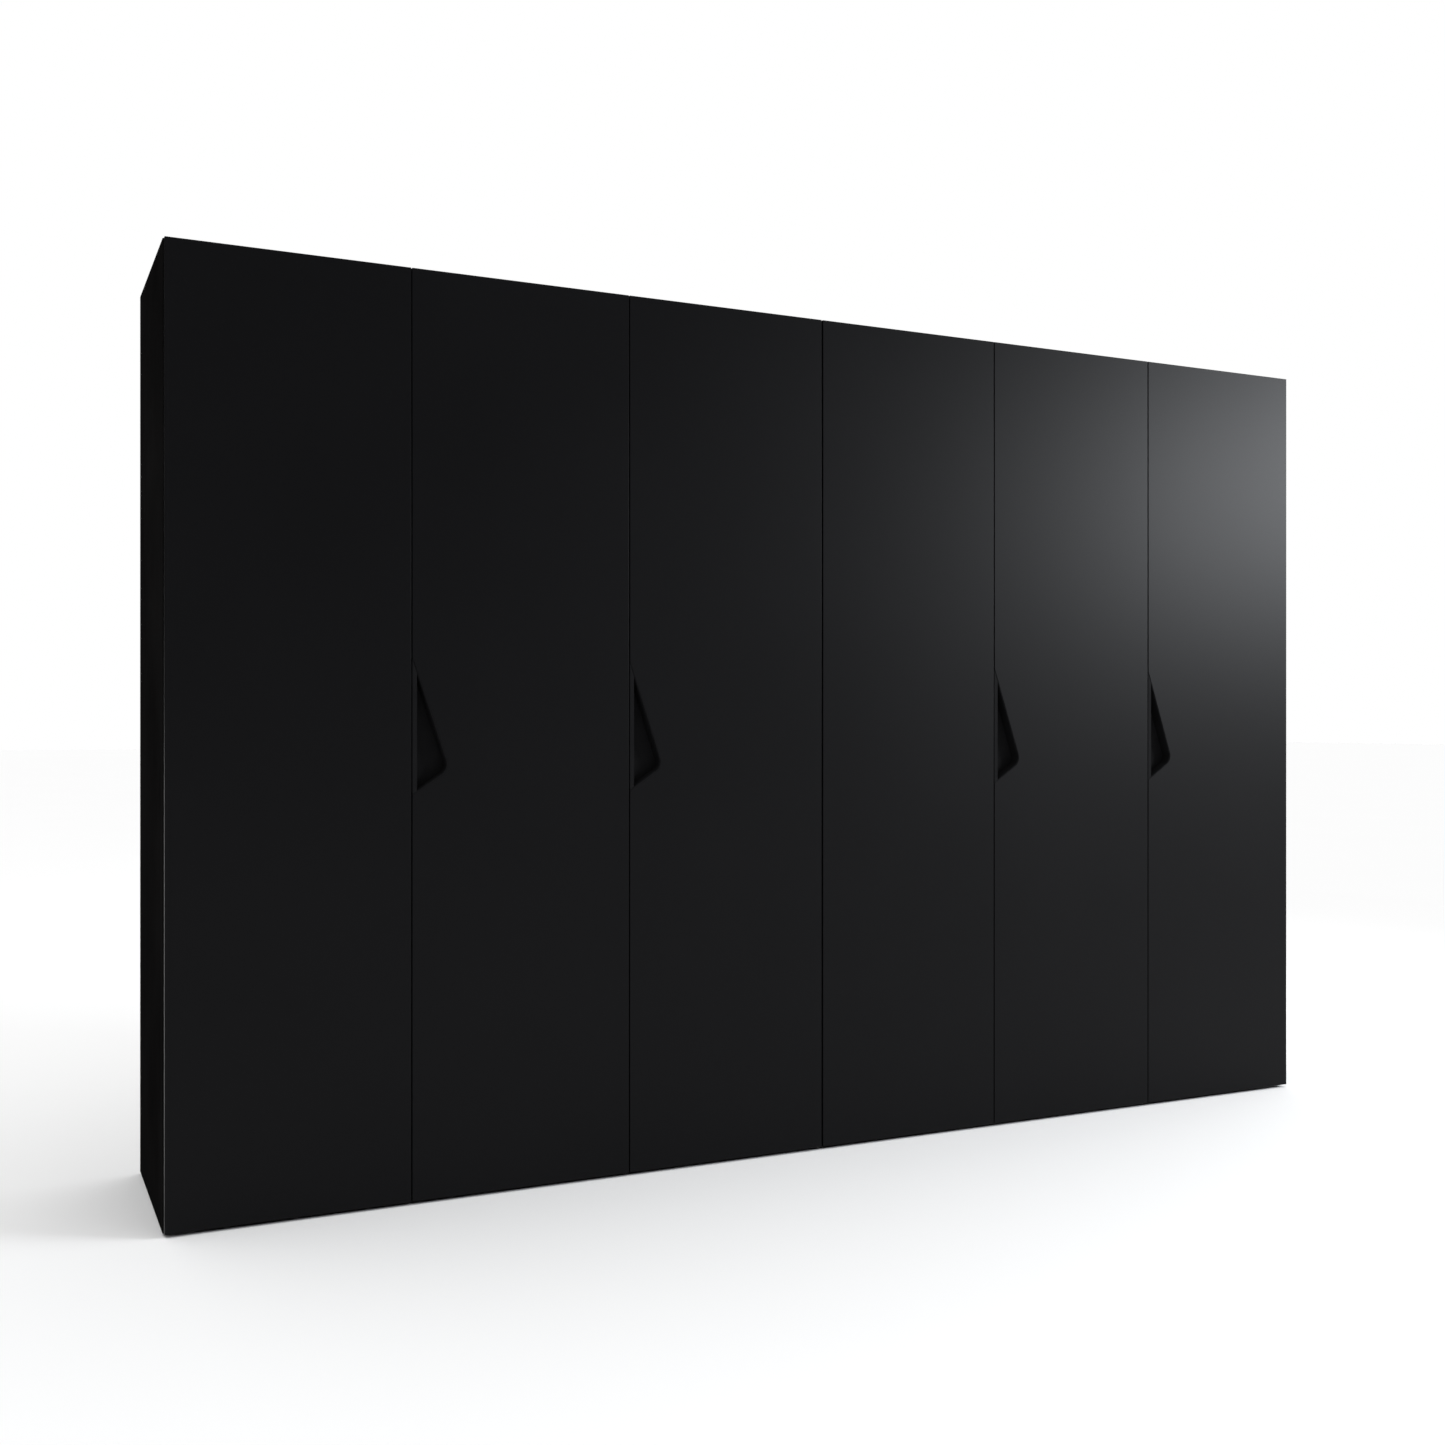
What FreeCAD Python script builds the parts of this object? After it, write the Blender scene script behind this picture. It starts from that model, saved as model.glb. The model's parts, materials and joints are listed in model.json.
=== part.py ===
import FreeCAD, Part
import math
import os
import Sketcher

# Six-door wardrobe made of two equal three-door units that stand side by side.
# Millimetres. +Z is up, -Y is the front, +X is to the right of someone facing the doors.
# The origin is at floor level under the middle of the whole wardrobe.

SIZES = (
    ("overall_width", 3000, "both units together"),
    ("overall_height", 2000, "floor to the top of the sides"),
    ("overall_depth", 500, "door face to back panel"),
    ("board", 18, "carcass boards"),
    ("back_board", 3, "back panels"),
    ("rebate", 9, "width of the rebate that holds a back panel"),
    ("glide_height", 5, "plastic glides under the sides"),
    ("glide_radius", 8, "radius of a glide"),
    ("nail_radius", 1.25, "nail of a glide"),
    ("nail_length", 14, "nail of a glide"),
    ("glide_inset", 30, "glides from the front and back of a side"),
    ("plinth_height", 60, "kick board under the bottom"),
    ("plinth_setback", 20, "kick board behind the carcass front"),
    ("door_board", 18, "door thickness"),
    ("door_air", 3, "air between a closed door and the carcass"),
    ("door_gap", 2.5, "air between two doors of one unit"),
    ("edge_reveal", 2, "side of the unit beyond the outer door edge"),
    ("top_reveal", 2, "carcass above the door"),
    ("door_bottom", 8, "height of the door's lower edge"),
    ("door_round", 1, "radius of the door's face edges"),
    ("handle_top", 1169, "height where the pocket meets the door edge"),
    ("handle_corner", 928, "height of the pocket's inner corner"),
    ("handle_low", 874.5, "height of the pocket's lower end"),
    ("handle_reach", 81, "pocket corner from the door edge, before rounding"),
    ("handle_round", 28, "radius of the pocket's inner corner"),
    ("handle_depth", 30, "pocket floor below the door face"),
    ("handle_wall", 1.6, "wall of the handle shell"),
    ("handle_fit", 0.3, "air between shell and cut-out"),
    ("handle_sink", 1, "shell rim below the door face"),
    ("lip_width", 10, "grip lip along the door edge"),
    ("lip_thick", 2, "thickness of the lip"),
    ("lip_play", 0.05, "glue line round the lip"),
    ("hook_depth", 12.5, "room for fingertips behind the lip"),
    ("ear_size", 12, "screw ears of the handle shell"),
    ("ear_thick", 2, "thickness of the ears"),
    ("ear_height", 1049, "underside of the upper ear"),
    ("ear_lap", 4, "ears overlap the shell by this much"),
    ("ear_low", 34, "lower ear from the door edge"),
    ("axis_inset", 7.5, "hinge axis from the door's hinge edge"),
    ("axis_depth", 11.7, "hinge axis in front of the door's back face"),
    ("cup_radius", 17.5, "hinge cup outside"),
    ("cup_edge", 3.5, "hinge cup from the door edge"),
    ("flange_edge", 3, "cup flange from the door edge"),
    ("flange_rim", 2.5, "cup flange beyond the cup"),
    ("flange_tab", 6, "radius of the flange's screw tabs"),
    ("cup_depth", 14.6, "hinge cup depth"),
    ("cup_wall", 1, "hinge cup side wall"),
    ("cup_floor", 0.5, "hinge cup floor"),
    ("flange_thick", 1.2, "hinge cup flange"),
    ("flange_hole", 22.5, "flange screws above and below the cup"),
    ("pin_radius", 1.25, "hinge pin"),
    ("pin_half", 8.5, "half the length of the hinge pin"),
    ("pin_play", 0.05, "running play round the hinge pin"),
    ("cheek_play", 0.5, "air between the arm and each cheek of the cup"),
    ("eye_radius", 2.2, "eye of the hinge arm"),
    ("arm_width", 9, "width of the hinge arm"),
    ("arm_steel", 2.4, "thickness of the arm's neck"),
    ("neck_inset", 21.3, "arm neck from the door's hinge edge"),
    ("arm_body", 8, "height of the arm over its plate"),
    ("web_back", 1.6, "arm web behind the hinge axis"),
    ("neck_bend", 6, "start of the neck's slope behind the door"),
    ("neck_root", 20, "end of the neck's slope"),
    ("neck_swell", 2, "outer bends of the neck behind the inner ones"),
    ("arm_tail", 24, "arm beyond the plate screws"),
    ("arm_flare", 5, "extra width of the arm over its plate"),
    ("arm_round", 1.5, "radius of the arm's long edges"),
    ("plate_long", 50, "long bar of the hinge plate"),
    ("plate_bar", 16, "width of that bar"),
    ("plate_ahead", 22, "bar in front of the plate screws"),
    ("plate_wing", 13, "width of the plate's wings"),
    ("plate_end", 6, "wings beyond the plate screws"),
    ("plate_thick", 3, "hinge plate"),
    ("plate_line", 37, "plate screws behind the carcass front"),
    ("plate_half", 16, "plate screws above and below the hinge"),
    ("hinge_first", 110, "lowest hinge above the door's lower edge"),
    ("hinge_count", 4, "hinges on one door"),
    ("screw_radius", 1.75, "shank of every board screw"),
    ("screw_length", 13, "shank length"),
    ("screw_head", 3.5, "radius of the countersunk head"),
    ("screw_sink", 1.9, "height of the countersunk head"),
    ("recess_long", 3.6, "cross recess of a screw"),
    ("recess_wide", 0.8, "width of that recess"),
    ("recess_deep", 1.2, "depth of that recess"),
    ("bore_play", 0.05, "screw bores and drillings over the part in them"),
    ("hat_height", 1640, "underside of the hat shelf"),
    ("shelf_setback", 25, "shelf front behind the carcass front"),
    ("shelf_play", 1, "air at each end of a loose shelf"),
    ("shelf_count", 4, "loose shelves in the narrow bay"),
    ("rail_drop", 60, "rail axis below the hat shelf"),
    ("rail_tall", 30, "hanging rail section height"),
    ("rail_wide", 15, "hanging rail section width"),
    ("rail_wall", 1.2, "hanging rail wall"),
    ("holder_plate", 2, "flange of a rail holder"),
    ("holder_reach", 12, "length of a rail holder's socket"),
    ("holder_wall", 2.5, "wall of a rail holder's socket"),
    ("holder_flange", 34, "half height of a rail holder's flange"),
    ("holder_play", 0.6, "rail in its holder, both sides together"),
    ("support_radius", 2.5, "shelf support pin"),
    ("support_inside", 8, "pin length in the board"),
    ("support_outside", 8, "pin length under the shelf"),
    ("support_row", 60, "rows of support drillings from the shelf ends"),
    ("drill_pitch", 32, "pitch of the support drillings"),
    ("drill_spare", 2, "spare drillings above and below each pin"),
    ("drill_depth", 10, "depth of the support drillings"),
    ("cam_radius", 7.5, "cam lock"),
    ("cam_height", 12, "height of a cam lock"),
    ("cam_inset", 34, "cam lock from the end of its board"),
    ("cam_row", 60, "cam locks from the front and back of the board"),
    ("cam_mouth", 2.5, "mouth of a cam lock past its middle"),
    ("cam_cross", 8, "key cross of a cam lock"),
    ("cam_blade", 1.4, "width of that cross"),
    ("cam_key", 2, "depth of that cross"),
    ("stud_radius", 3.5, "shank of a cam stud"),
    ("stud_thread", 2.5, "thread of a cam stud"),
    ("stud_bite", 11, "thread length in the side"),
    ("stud_head", 3, "head of a cam stud"),
    ("dowel_radius", 4, "beech dowel"),
    ("dowel_length", 26, "beech dowel, half of it in each board"),
    ("link_radius", 4, "sleeve of a unit connector"),
    ("link_head", 8, "head of a unit connector"),
    ("link_cap", 1.5, "thickness of that head"),
    ("link_key", 7, "key cross of that head"),
    ("link_blade", 1.2, "width of that cross"),
    ("link_deep", 1, "depth of that cross"),
    ("bumper_radius", 3, "door bumper"),
    ("bumper_thick", 2.7, "door bumper"),
    ("bracket_leg", 40, "legs of a wall bracket"),
    ("bracket_width", 24, "width of a wall bracket"),
    ("bracket_steel", 2, "wall bracket steel"),
    ("bracket_hole", 0.6, "holes of a bracket along its leg, as a share of it"),
    ("wall_hole", 3, "radius of the hole for a wall screw"),
    ("wall_pitch", 640, "wall holes of one unit apart"),
)

doc = FreeCAD.newDocument("Wardrobe")
sheet = doc.addObject("Spreadsheet::Sheet", "Sizes")
for row, (alias, number, note) in enumerate(SIZES, start=1):
    sheet.set("A%d" % row, alias)
    sheet.set("B%d" % row, str(number))
    sheet.set("C%d" % row, note)
    sheet.setAlias("B%d" % row, alias)
doc.recompute()

PARTS = []
UNITS = (0, 1)
FRONT = "(-Sizes.overall_depth / 2)"
DOOR_BACK = "(%s + Sizes.door_board)" % FRONT
CARCASS = "(%s + Sizes.door_air)" % DOOR_BACK
REAR = "(Sizes.overall_depth / 2)"
INNER_REAR = "(%s - Sizes.back_board)" % REAR
UNIT_WIDTH = "(Sizes.overall_width / 2)"
DOOR_WIDTH = "((%s - 2 * Sizes.edge_reveal - 2 * Sizes.door_gap) / 3)" % UNIT_WIDTH
DOOR_HEIGHT = "(Sizes.overall_height - Sizes.top_reveal - Sizes.door_bottom)"
FLOOR_TOP = "(Sizes.glide_height + Sizes.plinth_height + Sizes.board)"
CEILING = "(Sizes.overall_height - Sizes.board)"
BAY_HEIGHT = "(%s - %s)" % (CEILING, FLOOR_TOP)


def value(expression):
    """Number that an expression on the sheet gives."""
    result = sheet.evalExpression(expression.replace("Sizes.", ""))
    return float(getattr(result, "Value", result))


def unit_left(unit):
    return "(%d * %s - Sizes.overall_width / 2)" % (unit, UNIT_WIDTH)


def unit_right(unit):
    return "(%s + %s)" % (unit_left(unit), UNIT_WIDTH)


def door_left(door):
    """Left edge of door 0 to 5."""
    unit, place = divmod(door, 3)
    return "(%s + Sizes.edge_reveal + %d * (%s + Sizes.door_gap))" % (unit_left(unit), place, DOOR_WIDTH)


def partition_left(unit):
    """Left face of the partition, centred behind the gap between the second and third door."""
    middle = "(%s - Sizes.door_gap / 2)" % door_left(3 * unit + 2)
    return "(%s - Sizes.board / 2)" % middle


def partition_right(unit):
    return "(%s + Sizes.board)" % partition_left(unit)


def bind(item, **sizes):
    for name, expression in sizes.items():
        item.setExpression(name, expression)


def place(item, x, y, z):
    item.setExpression("Placement.Base.x", x)
    item.setExpression("Placement.Base.y", y)
    item.setExpression("Placement.Base.z", z)


def box(name, size, corner):
    item = doc.addObject("Part::Box", name)
    bind(item, Length=size[0], Width=size[1], Height=size[2])
    place(item, *corner)
    return item


def cylinder(name, radius, length, base, axis=(0, 0, 1)):
    """Cylinder from base along axis."""
    item = doc.addObject("Part::Cylinder", name)
    item.Placement.Rotation = FreeCAD.Rotation(FreeCAD.Vector(0, 0, 1), FreeCAD.Vector(*axis))
    bind(item, Radius=radius, Height=length)
    place(item, *base)
    return item


def cut(name, base, tool):
    item = doc.addObject("Part::Cut", name)
    item.Base = base
    item.Tool = tool
    return item


def joined(name, items):
    item = doc.addObject("Part::MultiFuse", name)
    item.Shapes = items
    return item


def grouped(name, items):
    item = doc.addObject("Part::Compound", name)
    item.Links = items
    return item


def part(item, label):
    """Marks an object as a finished sub-part."""
    item.Label = label
    PARTS.append(item)
    return item


def shape_part(label, shapes):
    """A group of equal pieces as one sub-part."""
    item = doc.addObject("Part::Feature", label)
    item.Shape = Part.makeCompound(shapes)
    item.Placement = FreeCAD.Placement()
    return part(item, label)


def drilled(name, base, shapes):
    """Cuts a group of drillings out of a board."""
    tool = doc.addObject("Part::Feature", name + "_drillings")
    tool.Shape = Part.makeCompound(shapes)
    return cut(name, base, tool)


def moved(form, x, y, z, mirrored=False):
    """Copy of a form's shape, mirrored left to right first if asked."""
    shape = form.Shape.copy()
    if mirrored:
        shape = shape.mirror(FreeCAD.Vector(0, 0, 0), FreeCAD.Vector(1, 0, 0))
    shape.translate(FreeCAD.Vector(x, y, z))
    return shape


def rod(radius, length, start, direction):
    """Plain round shape for a drilling, start and direction as number triples."""
    return Part.makeCylinder(radius, length, FreeCAD.Vector(*start), FreeCAD.Vector(*direction))


# ---------------------------------------------------------------- sketches

def plane(body, role):
    return next(item for item in body.Origin.OriginFeatures if item.Role == role)


def hold(sketch, name, kind, expression, *where):
    """Adds one named dimension bound to an expression."""
    at = sketch.addConstraint(Sketcher.Constraint(kind, *where, value(expression)))
    sketch.renameConstraint(at, name)
    sketch.setExpression("Constraints." + name, expression)


def rounded_corner(sketch, before, after, corner, radius):
    """Tangent arc between two lines whose extensions meet at corner."""
    vertex = FreeCAD.Vector(*[value(number) for number in corner], 0)
    back = (sketch.Geometry[before].StartPoint - vertex).normalize()
    ahead = (sketch.Geometry[after].EndPoint - vertex).normalize()
    half = back.getAngle(ahead) / 2
    size = value(radius)
    centre = vertex + (back + ahead).normalize() * (size / math.sin(half))
    touch = [vertex + way * (size / math.tan(half)) for way in (back, ahead)]
    turns = [math.atan2(point.y - centre.y, point.x - centre.x) for point in touch]
    forward = (turns[1] - turns[0]) % (2 * math.pi) < math.pi
    first, last = turns if forward else turns[::-1]
    circle = Part.Circle(centre, FreeCAD.Vector(0, 0, 1), size)
    sketch.moveGeometry(before, 2, touch[0])
    sketch.moveGeometry(after, 1, touch[1])
    arc = sketch.addGeometry(Part.ArcOfCircle(circle, first, last), False)
    meet = sketch.addGeometry(Part.Point(vertex), True)
    ends = (1, 2) if forward else (2, 1)
    sketch.addConstraint(Sketcher.Constraint("Tangent", before, 2, arc, ends[0]))
    sketch.addConstraint(Sketcher.Constraint("Tangent", after, 1, arc, ends[1]))
    sketch.addConstraint(Sketcher.Constraint("PointOnObject", meet, 1, before))
    sketch.addConstraint(Sketcher.Constraint("PointOnObject", meet, 1, after))
    hold(sketch, "CornerX", "DistanceX", corner[0], meet, 1)
    hold(sketch, "CornerY", "DistanceY", corner[1], meet, 1)
    hold(sketch, "CornerRadius", "Radius", radius, arc)


def polygon_sketch(body, name, role, points, offset="0", corner=None):
    """Closed outline whose corners are expression pairs, on an origin plane moved by offset.

    corner gives the number and the radius of one rounded corner.
    """
    sketch = body.newObject("Sketcher::SketchObject", name)
    sketch.AttachmentSupport = (plane(body, role), [""])
    sketch.MapMode = "FlatFace"
    sketch.setExpression("AttachmentOffset.Base.z", offset)
    spots = [FreeCAD.Vector(value(x), value(y), 0) for x, y in points]
    count = len(spots)
    sharp = [index for index in range(count) if corner is None or index != corner[0]]
    for index in range(count):
        sketch.addGeometry(Part.LineSegment(spots[index], spots[(index + 1) % count]), False)
    for index in sharp:
        sketch.addConstraint(Sketcher.Constraint("Coincident", (index - 1) % count, 2, index, 1))
        hold(sketch, "X%d" % index, "DistanceX", points[index][0], index, 1)
        hold(sketch, "Y%d" % index, "DistanceY", points[index][1], index, 1)
    if corner:
        rounded_corner(sketch, corner[0] - 1, corner[0], points[corner[0]], corner[1])
    return sketch


def circle_sketch(body, name, role, centre, radius, offset="0"):
    sketch = body.newObject("Sketcher::SketchObject", name)
    sketch.AttachmentSupport = (plane(body, role), [""])
    sketch.MapMode = "FlatFace"
    sketch.setExpression("AttachmentOffset.Base.z", offset)
    middle = FreeCAD.Vector(value(centre[0]), value(centre[1]), 0)
    sketch.addGeometry(Part.Circle(middle, FreeCAD.Vector(0, 0, 1), value(radius)), False)
    hold(sketch, "CentreX", "DistanceX", centre[0], 0, 3)
    hold(sketch, "CentreY", "DistanceY", centre[1], 0, 3)
    hold(sketch, "Radius", "Radius", radius, 0)
    return sketch


def pad(body, sketch, length, reversed_way=False, both_ways=False):
    item = body.newObject("PartDesign::Pad", sketch.Name + "_pad")
    item.Profile = sketch
    item.setExpression("Length", length)
    item.Reversed = reversed_way
    item.Midplane = both_ways
    body.Tip = item
    doc.recompute()
    return item


def pocket(body, sketch, length, reversed_way=False, both_ways=False):
    before = body.Shape.Volume
    item = body.newObject("PartDesign::Pocket", sketch.Name + "_pocket")
    item.Profile = sketch
    item.setExpression("Length", length)
    item.Reversed = reversed_way
    item.Midplane = both_ways
    body.Tip = item
    doc.recompute()
    if body.Shape.Volume >= before - 1e-3:
        raise RuntimeError(sketch.Name + " cuts nothing")
    return item


def edge_names(shape, wanted):
    return ["Edge%d" % number for number, edge in enumerate(shape.Edges, start=1) if wanted(edge)]


def rounded(body, radius, wanted, name):
    """Rounds the edges that wanted picks from the body's present shape."""
    base = body.Tip
    names = edge_names(base.Shape, wanted)
    if not names:
        raise RuntimeError(name + " finds no edge")
    item = body.newObject("PartDesign::Fillet", name)
    item.Base = (base, names)
    item.setExpression("Radius", radius)
    body.Tip = item
    doc.recompute()
    return item


def along_y(edge):
    box_of = edge.BoundBox
    return box_of.XLength < 1e-4 and box_of.ZLength < 1e-4


# ---------------------------------------------------------------- carcass forms

def countersunk(name, play):
    """Countersunk head and shank, tip towards +Z, head top at z = 0."""
    head = doc.addObject("Part::Cone", name + "_cone")
    wide = "Sizes.screw_head" + play
    narrow = "Sizes.screw_radius" + play
    bind(head, Radius1=wide, Radius2=narrow, Height="Sizes.screw_sink")
    length = "Sizes.screw_sink + Sizes.screw_length"
    shank = cylinder(name + "_shank", "Sizes.screw_radius" + play, length, ("0", "0", "0"))
    return joined(name, [head, shank])


def cross(name, long, wide, deep):
    """Upright cross for a screwdriver, its foot at z = 0."""
    blades = []
    for index, (across, along) in enumerate(((long, wide), (wide, long))):
        corner = ("-%s / 2" % across, "-%s / 2" % along, "0")
        blades.append(box("%s_blade_%d" % (name, index), (across, along, deep), corner))
    return joined(name, blades)


def screw_form():
    """Board screw with a cross recess."""
    body = countersunk("screw_body", "")
    recess = cross("screw_recess", "Sizes.recess_long", "Sizes.recess_wide", "Sizes.recess_deep")
    return cut("screw", body, recess)


def aimed(form, point, direction):
    """Copy of a form at point, turned so that its +Z points along direction."""
    shape = form.Shape.copy()
    turn = FreeCAD.Rotation(FreeCAD.Vector(0, 0, 1), FreeCAD.Vector(*direction))
    shape.Placement = FreeCAD.Placement(FreeCAD.Vector(*point), turn)
    return shape


def screw_bore(point, direction):
    """Bore for the screw's shank, from the board's face."""
    radius = value("Sizes.screw_radius + Sizes.bore_play")
    length = value("Sizes.screw_length + Sizes.screw_sink")
    return rod(radius, length, point, direction)


screw = screw_form()
socket = countersunk("screw_socket", " + Sizes.bore_play")
doc.recompute()

HINGE_HEIGHTS = []
for step in range(int(value("Sizes.hinge_count"))):
    first = value("Sizes.door_bottom + Sizes.hinge_first")
    last = value("Sizes.door_bottom + %s - Sizes.hinge_first" % DOOR_HEIGHT)
    HINGE_HEIGHTS.append(first + step * (last - first) / (value("Sizes.hinge_count") - 1))

SHELF_HEIGHTS = []
for step in range(int(value("Sizes.shelf_count"))):
    clear = value("(%s - Sizes.shelf_count * Sizes.board) / (Sizes.shelf_count + 1)" % BAY_HEIGHT)
    SHELF_HEIGHTS.append(value(FLOOR_TOP) + (step + 1) * clear + step * value("Sizes.board"))

# Each door hangs on one board face: (door, hinge edge x, direction into the door, board face x).
HANGING = []
for unit in UNITS:
    doors = [3 * unit, 3 * unit + 1, 3 * unit + 2]
    wide = value(DOOR_WIDTH)
    left_face = value("%s + Sizes.board" % unit_left(unit))
    right_face = value("%s - Sizes.board" % unit_right(unit))
    HANGING.append((doors[0], value(door_left(doors[0])), 1, left_face))
    HANGING.append((doors[1], value(door_left(doors[1])) + wide, -1, value(partition_left(unit))))
    HANGING.append((doors[2], value(door_left(doors[2])) + wide, -1, right_face))


def plate_screw_points(board_face, way):
    """Screw heads of all hinge plates on one board face."""
    rear = value("%s + Sizes.plate_line" % CARCASS)
    half = value("Sizes.plate_half")
    out = board_face + way * value("Sizes.plate_thick")
    return [(out, rear, height + side * half) for height in HINGE_HEIGHTS for side in (-1, 1)]


def plate_bores(board_face, way):
    return [screw_bore((board_face + way * 0.001, y, z), (-way, 0, 0))
            for x, y, z in plate_screw_points(board_face, way)]


# ---------------------------------------------------------------- boards

SHELF_FRONT = "(%s + Sizes.shelf_setback)" % CARCASS
SHELF_REAR = "(%s - 2 * Sizes.shelf_play)" % INNER_REAR
SHELF_DEPTH = "(%s - %s)" % (SHELF_REAR, SHELF_FRONT)
BOARD_DEPTH = "(%s - %s)" % (INNER_REAR, CARCASS)
HAT_DEPTH = "(%s - %s)" % (INNER_REAR, SHELF_FRONT)


def support_levels():
    """Heights of the support drillings: each shelf's own and the spares round it."""
    spare = int(value("Sizes.drill_spare"))
    pitch = value("Sizes.drill_pitch")
    drop = value("Sizes.support_radius")
    return [height - drop + step * pitch for height in SHELF_HEIGHTS for step in range(-spare, spare + 1)]


def support_rows():
    row = value("Sizes.support_row")
    return value(SHELF_FRONT) + row, value(SHELF_REAR) - row


def support_drillings(board_face, way):
    radius = value("Sizes.support_radius + Sizes.bore_play")
    depth = value("Sizes.drill_depth")
    return [rod(radius, depth, (board_face, y, z), (-way, 0, 0))
            for y in support_rows() for z in support_levels()]


def stud_rows(front, depth):
    row = value("Sizes.cam_row")
    return value(front) + row, value(front) + value(depth) - row


def stud_levels():
    """Mid-height, front line and depth of each board held by cam locks."""
    return (
        (value("%s + Sizes.board / 2" % CEILING), CARCASS, BOARD_DEPTH),
        (value("%s - Sizes.board / 2" % FLOOR_TOP), CARCASS, BOARD_DEPTH),
        (value("Sizes.hat_height + Sizes.board / 2"), SHELF_FRONT, HAT_DEPTH),
    )


def thread_bores(board_face, way, levels):
    radius = value("Sizes.stud_thread + Sizes.bore_play")
    length = value("Sizes.stud_bite")
    return [rod(radius, length, (board_face, y, height), (-way, 0, 0))
            for height, front, depth in levels for y in stud_rows(front, depth)]


def link_points():
    """Connectors that bolt the two units together."""
    heights = [value("Sizes.hinge_first * 2"), value("Sizes.overall_height - Sizes.hinge_first * 2")]
    rows = [value("%s + Sizes.plate_line" % CARCASS), value("%s - Sizes.plate_line * 2" % INNER_REAR)]
    return [(y, z) for y in rows for z in heights]


def link_bores(at_joint):
    """Bores for the connectors, only in a side that stands against the other unit."""
    if not at_joint:
        return []
    radius = value("Sizes.link_radius + Sizes.bore_play")
    length = value("2 * Sizes.board")
    return [rod(radius, length, (-length / 2, y, z), (1, 0, 0)) for y, z in link_points()]


def holder_points(unit):
    """Rail holder centres: board face x, direction into the bay."""
    y = value("(%s + %s) / 2" % (SHELF_FRONT, INNER_REAR))
    z = value("Sizes.hat_height - Sizes.rail_drop")
    left = value("%s + Sizes.board" % unit_left(unit))
    return ((left, y, z, 1), (value(partition_left(unit)), y, z, -1))


def holder_screw_points(x, y, z, way):
    out = x + way * value("Sizes.holder_plate")
    rise = value("Sizes.holder_flange - 1.8 * Sizes.screw_head")
    return [(out, y, z + side * rise) for side in (-1, 1)]


def holder_bores(point):
    x, y, z, way = point
    return [screw_bore((x + way * 0.001, screw_y, screw_z), (-way, 0, 0))
            for out, screw_y, screw_z in holder_screw_points(x, y, z, way)]


def glide_points(unit):
    """Glides under both sides and under the middle of the kick board."""
    rows = (value("%s + Sizes.glide_inset" % CARCASS), value("%s - Sizes.glide_inset" % REAR))
    half = value("Sizes.board / 2")
    columns = (value(unit_left(unit)) + half, value(unit_right(unit)) - half)
    kick = (value("(%s + %s) / 2" % (unit_left(unit), unit_right(unit))),
            value("%s + Sizes.plinth_setback" % CARCASS) + half)
    return [(x, y) for x in columns for y in rows] + [kick]


def nail_bores(points):
    radius, length = value("Sizes.nail_radius"), value("Sizes.nail_length")
    return [rod(radius, length, (x, y, value("Sizes.glide_height")), (0, 0, 1)) for x, y in points]


def dowel_points(unit):
    """Dowel middles at the lower and upper end of the partition."""
    x = value("%s + Sizes.board / 2" % partition_left(unit))
    return [(x, y, z) for y in stud_rows(CARCASS, BOARD_DEPTH) for z in (value(FLOOR_TOP), value(CEILING))]


def dowel_shapes(points, play):
    """Dowels, or the bores for them with play all round."""
    radius = value("Sizes.dowel_radius") + play
    length = value("Sizes.dowel_length") + 2 * play
    return [rod(radius, length, (x, y, z - length / 2), (0, 0, 1)) for x, y, z in points]


def side_board(unit, left_hand):
    """Outer side with its back rebate and every drilling on its inner face."""
    hand = "left" if left_hand else "right"
    name = "side_%s_%d" % (hand, unit + 1)
    x = unit_left(unit) if left_hand else "(%s - Sizes.board)" % unit_right(unit)
    tall = "Sizes.overall_height - Sizes.glide_height"
    deep = "%s - %s" % (REAR, CARCASS)
    low = "Sizes.glide_height"
    board = box(name + "_board", ("Sizes.board", deep, tall), (x, CARCASS, low))
    inner = "(%s + Sizes.board - Sizes.rebate)" % x if left_hand else x
    rebate = box(name + "_rebate", ("Sizes.rebate", "Sizes.back_board", tall), (inner, INNER_REAR, low))
    way = 1 if left_hand else -1
    face = value("%s + Sizes.board" % x) if left_hand else value(x)
    levels = stud_levels() if left_hand else stud_levels()[:2]
    drillings = plate_bores(face, way) + thread_bores(face, way, levels)
    drillings += holder_bores(holder_points(unit)[0]) if left_hand else support_drillings(face, way)
    drillings += link_bores((unit == 1) == left_hand)
    glides = glide_points(unit)
    drillings += nail_bores(glides[:2] if left_hand else glides[2:4])
    return part(drilled(name, cut(name + "_blank", board, rebate), drillings), name)


def cam_bores(ends, levels):
    """Housings and stud drillings at a board's ends, given as (end x, direction into the board)."""
    shapes = []
    for height, front, depth in levels:
        bottom = height - value("Sizes.board / 2")
        for end, way in ends:
            for y in stud_rows(front, depth):
                x = end + way * value("Sizes.cam_inset")
                tall = value("Sizes.cam_height + 4 * Sizes.bore_play")
                housing = value("Sizes.cam_radius + Sizes.bore_play")
                shapes.append(rod(housing, tall, (x, y, bottom), (0, 0, 1)))
                wide = value("Sizes.stud_radius + Sizes.bore_play")
                shapes.append(rod(wide, value("Sizes.cam_inset"), (end, y, height), (way, 0, 0)))
    return shapes


def flat_board(name, z, ends, levels, drillings=()):
    """Board between two faces, held by cam locks."""
    long = "%s - %s" % (ends[1], ends[0])
    front, depth = levels[0][1], levels[0][2]
    board = box(name + "_board", (long, depth, "Sizes.board"), (ends[0], front, z))
    places = ((value(ends[0]), 1), (value(ends[1]), -1))
    return part(drilled(name, board, cam_bores(places, levels) + list(drillings)), name)


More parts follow.
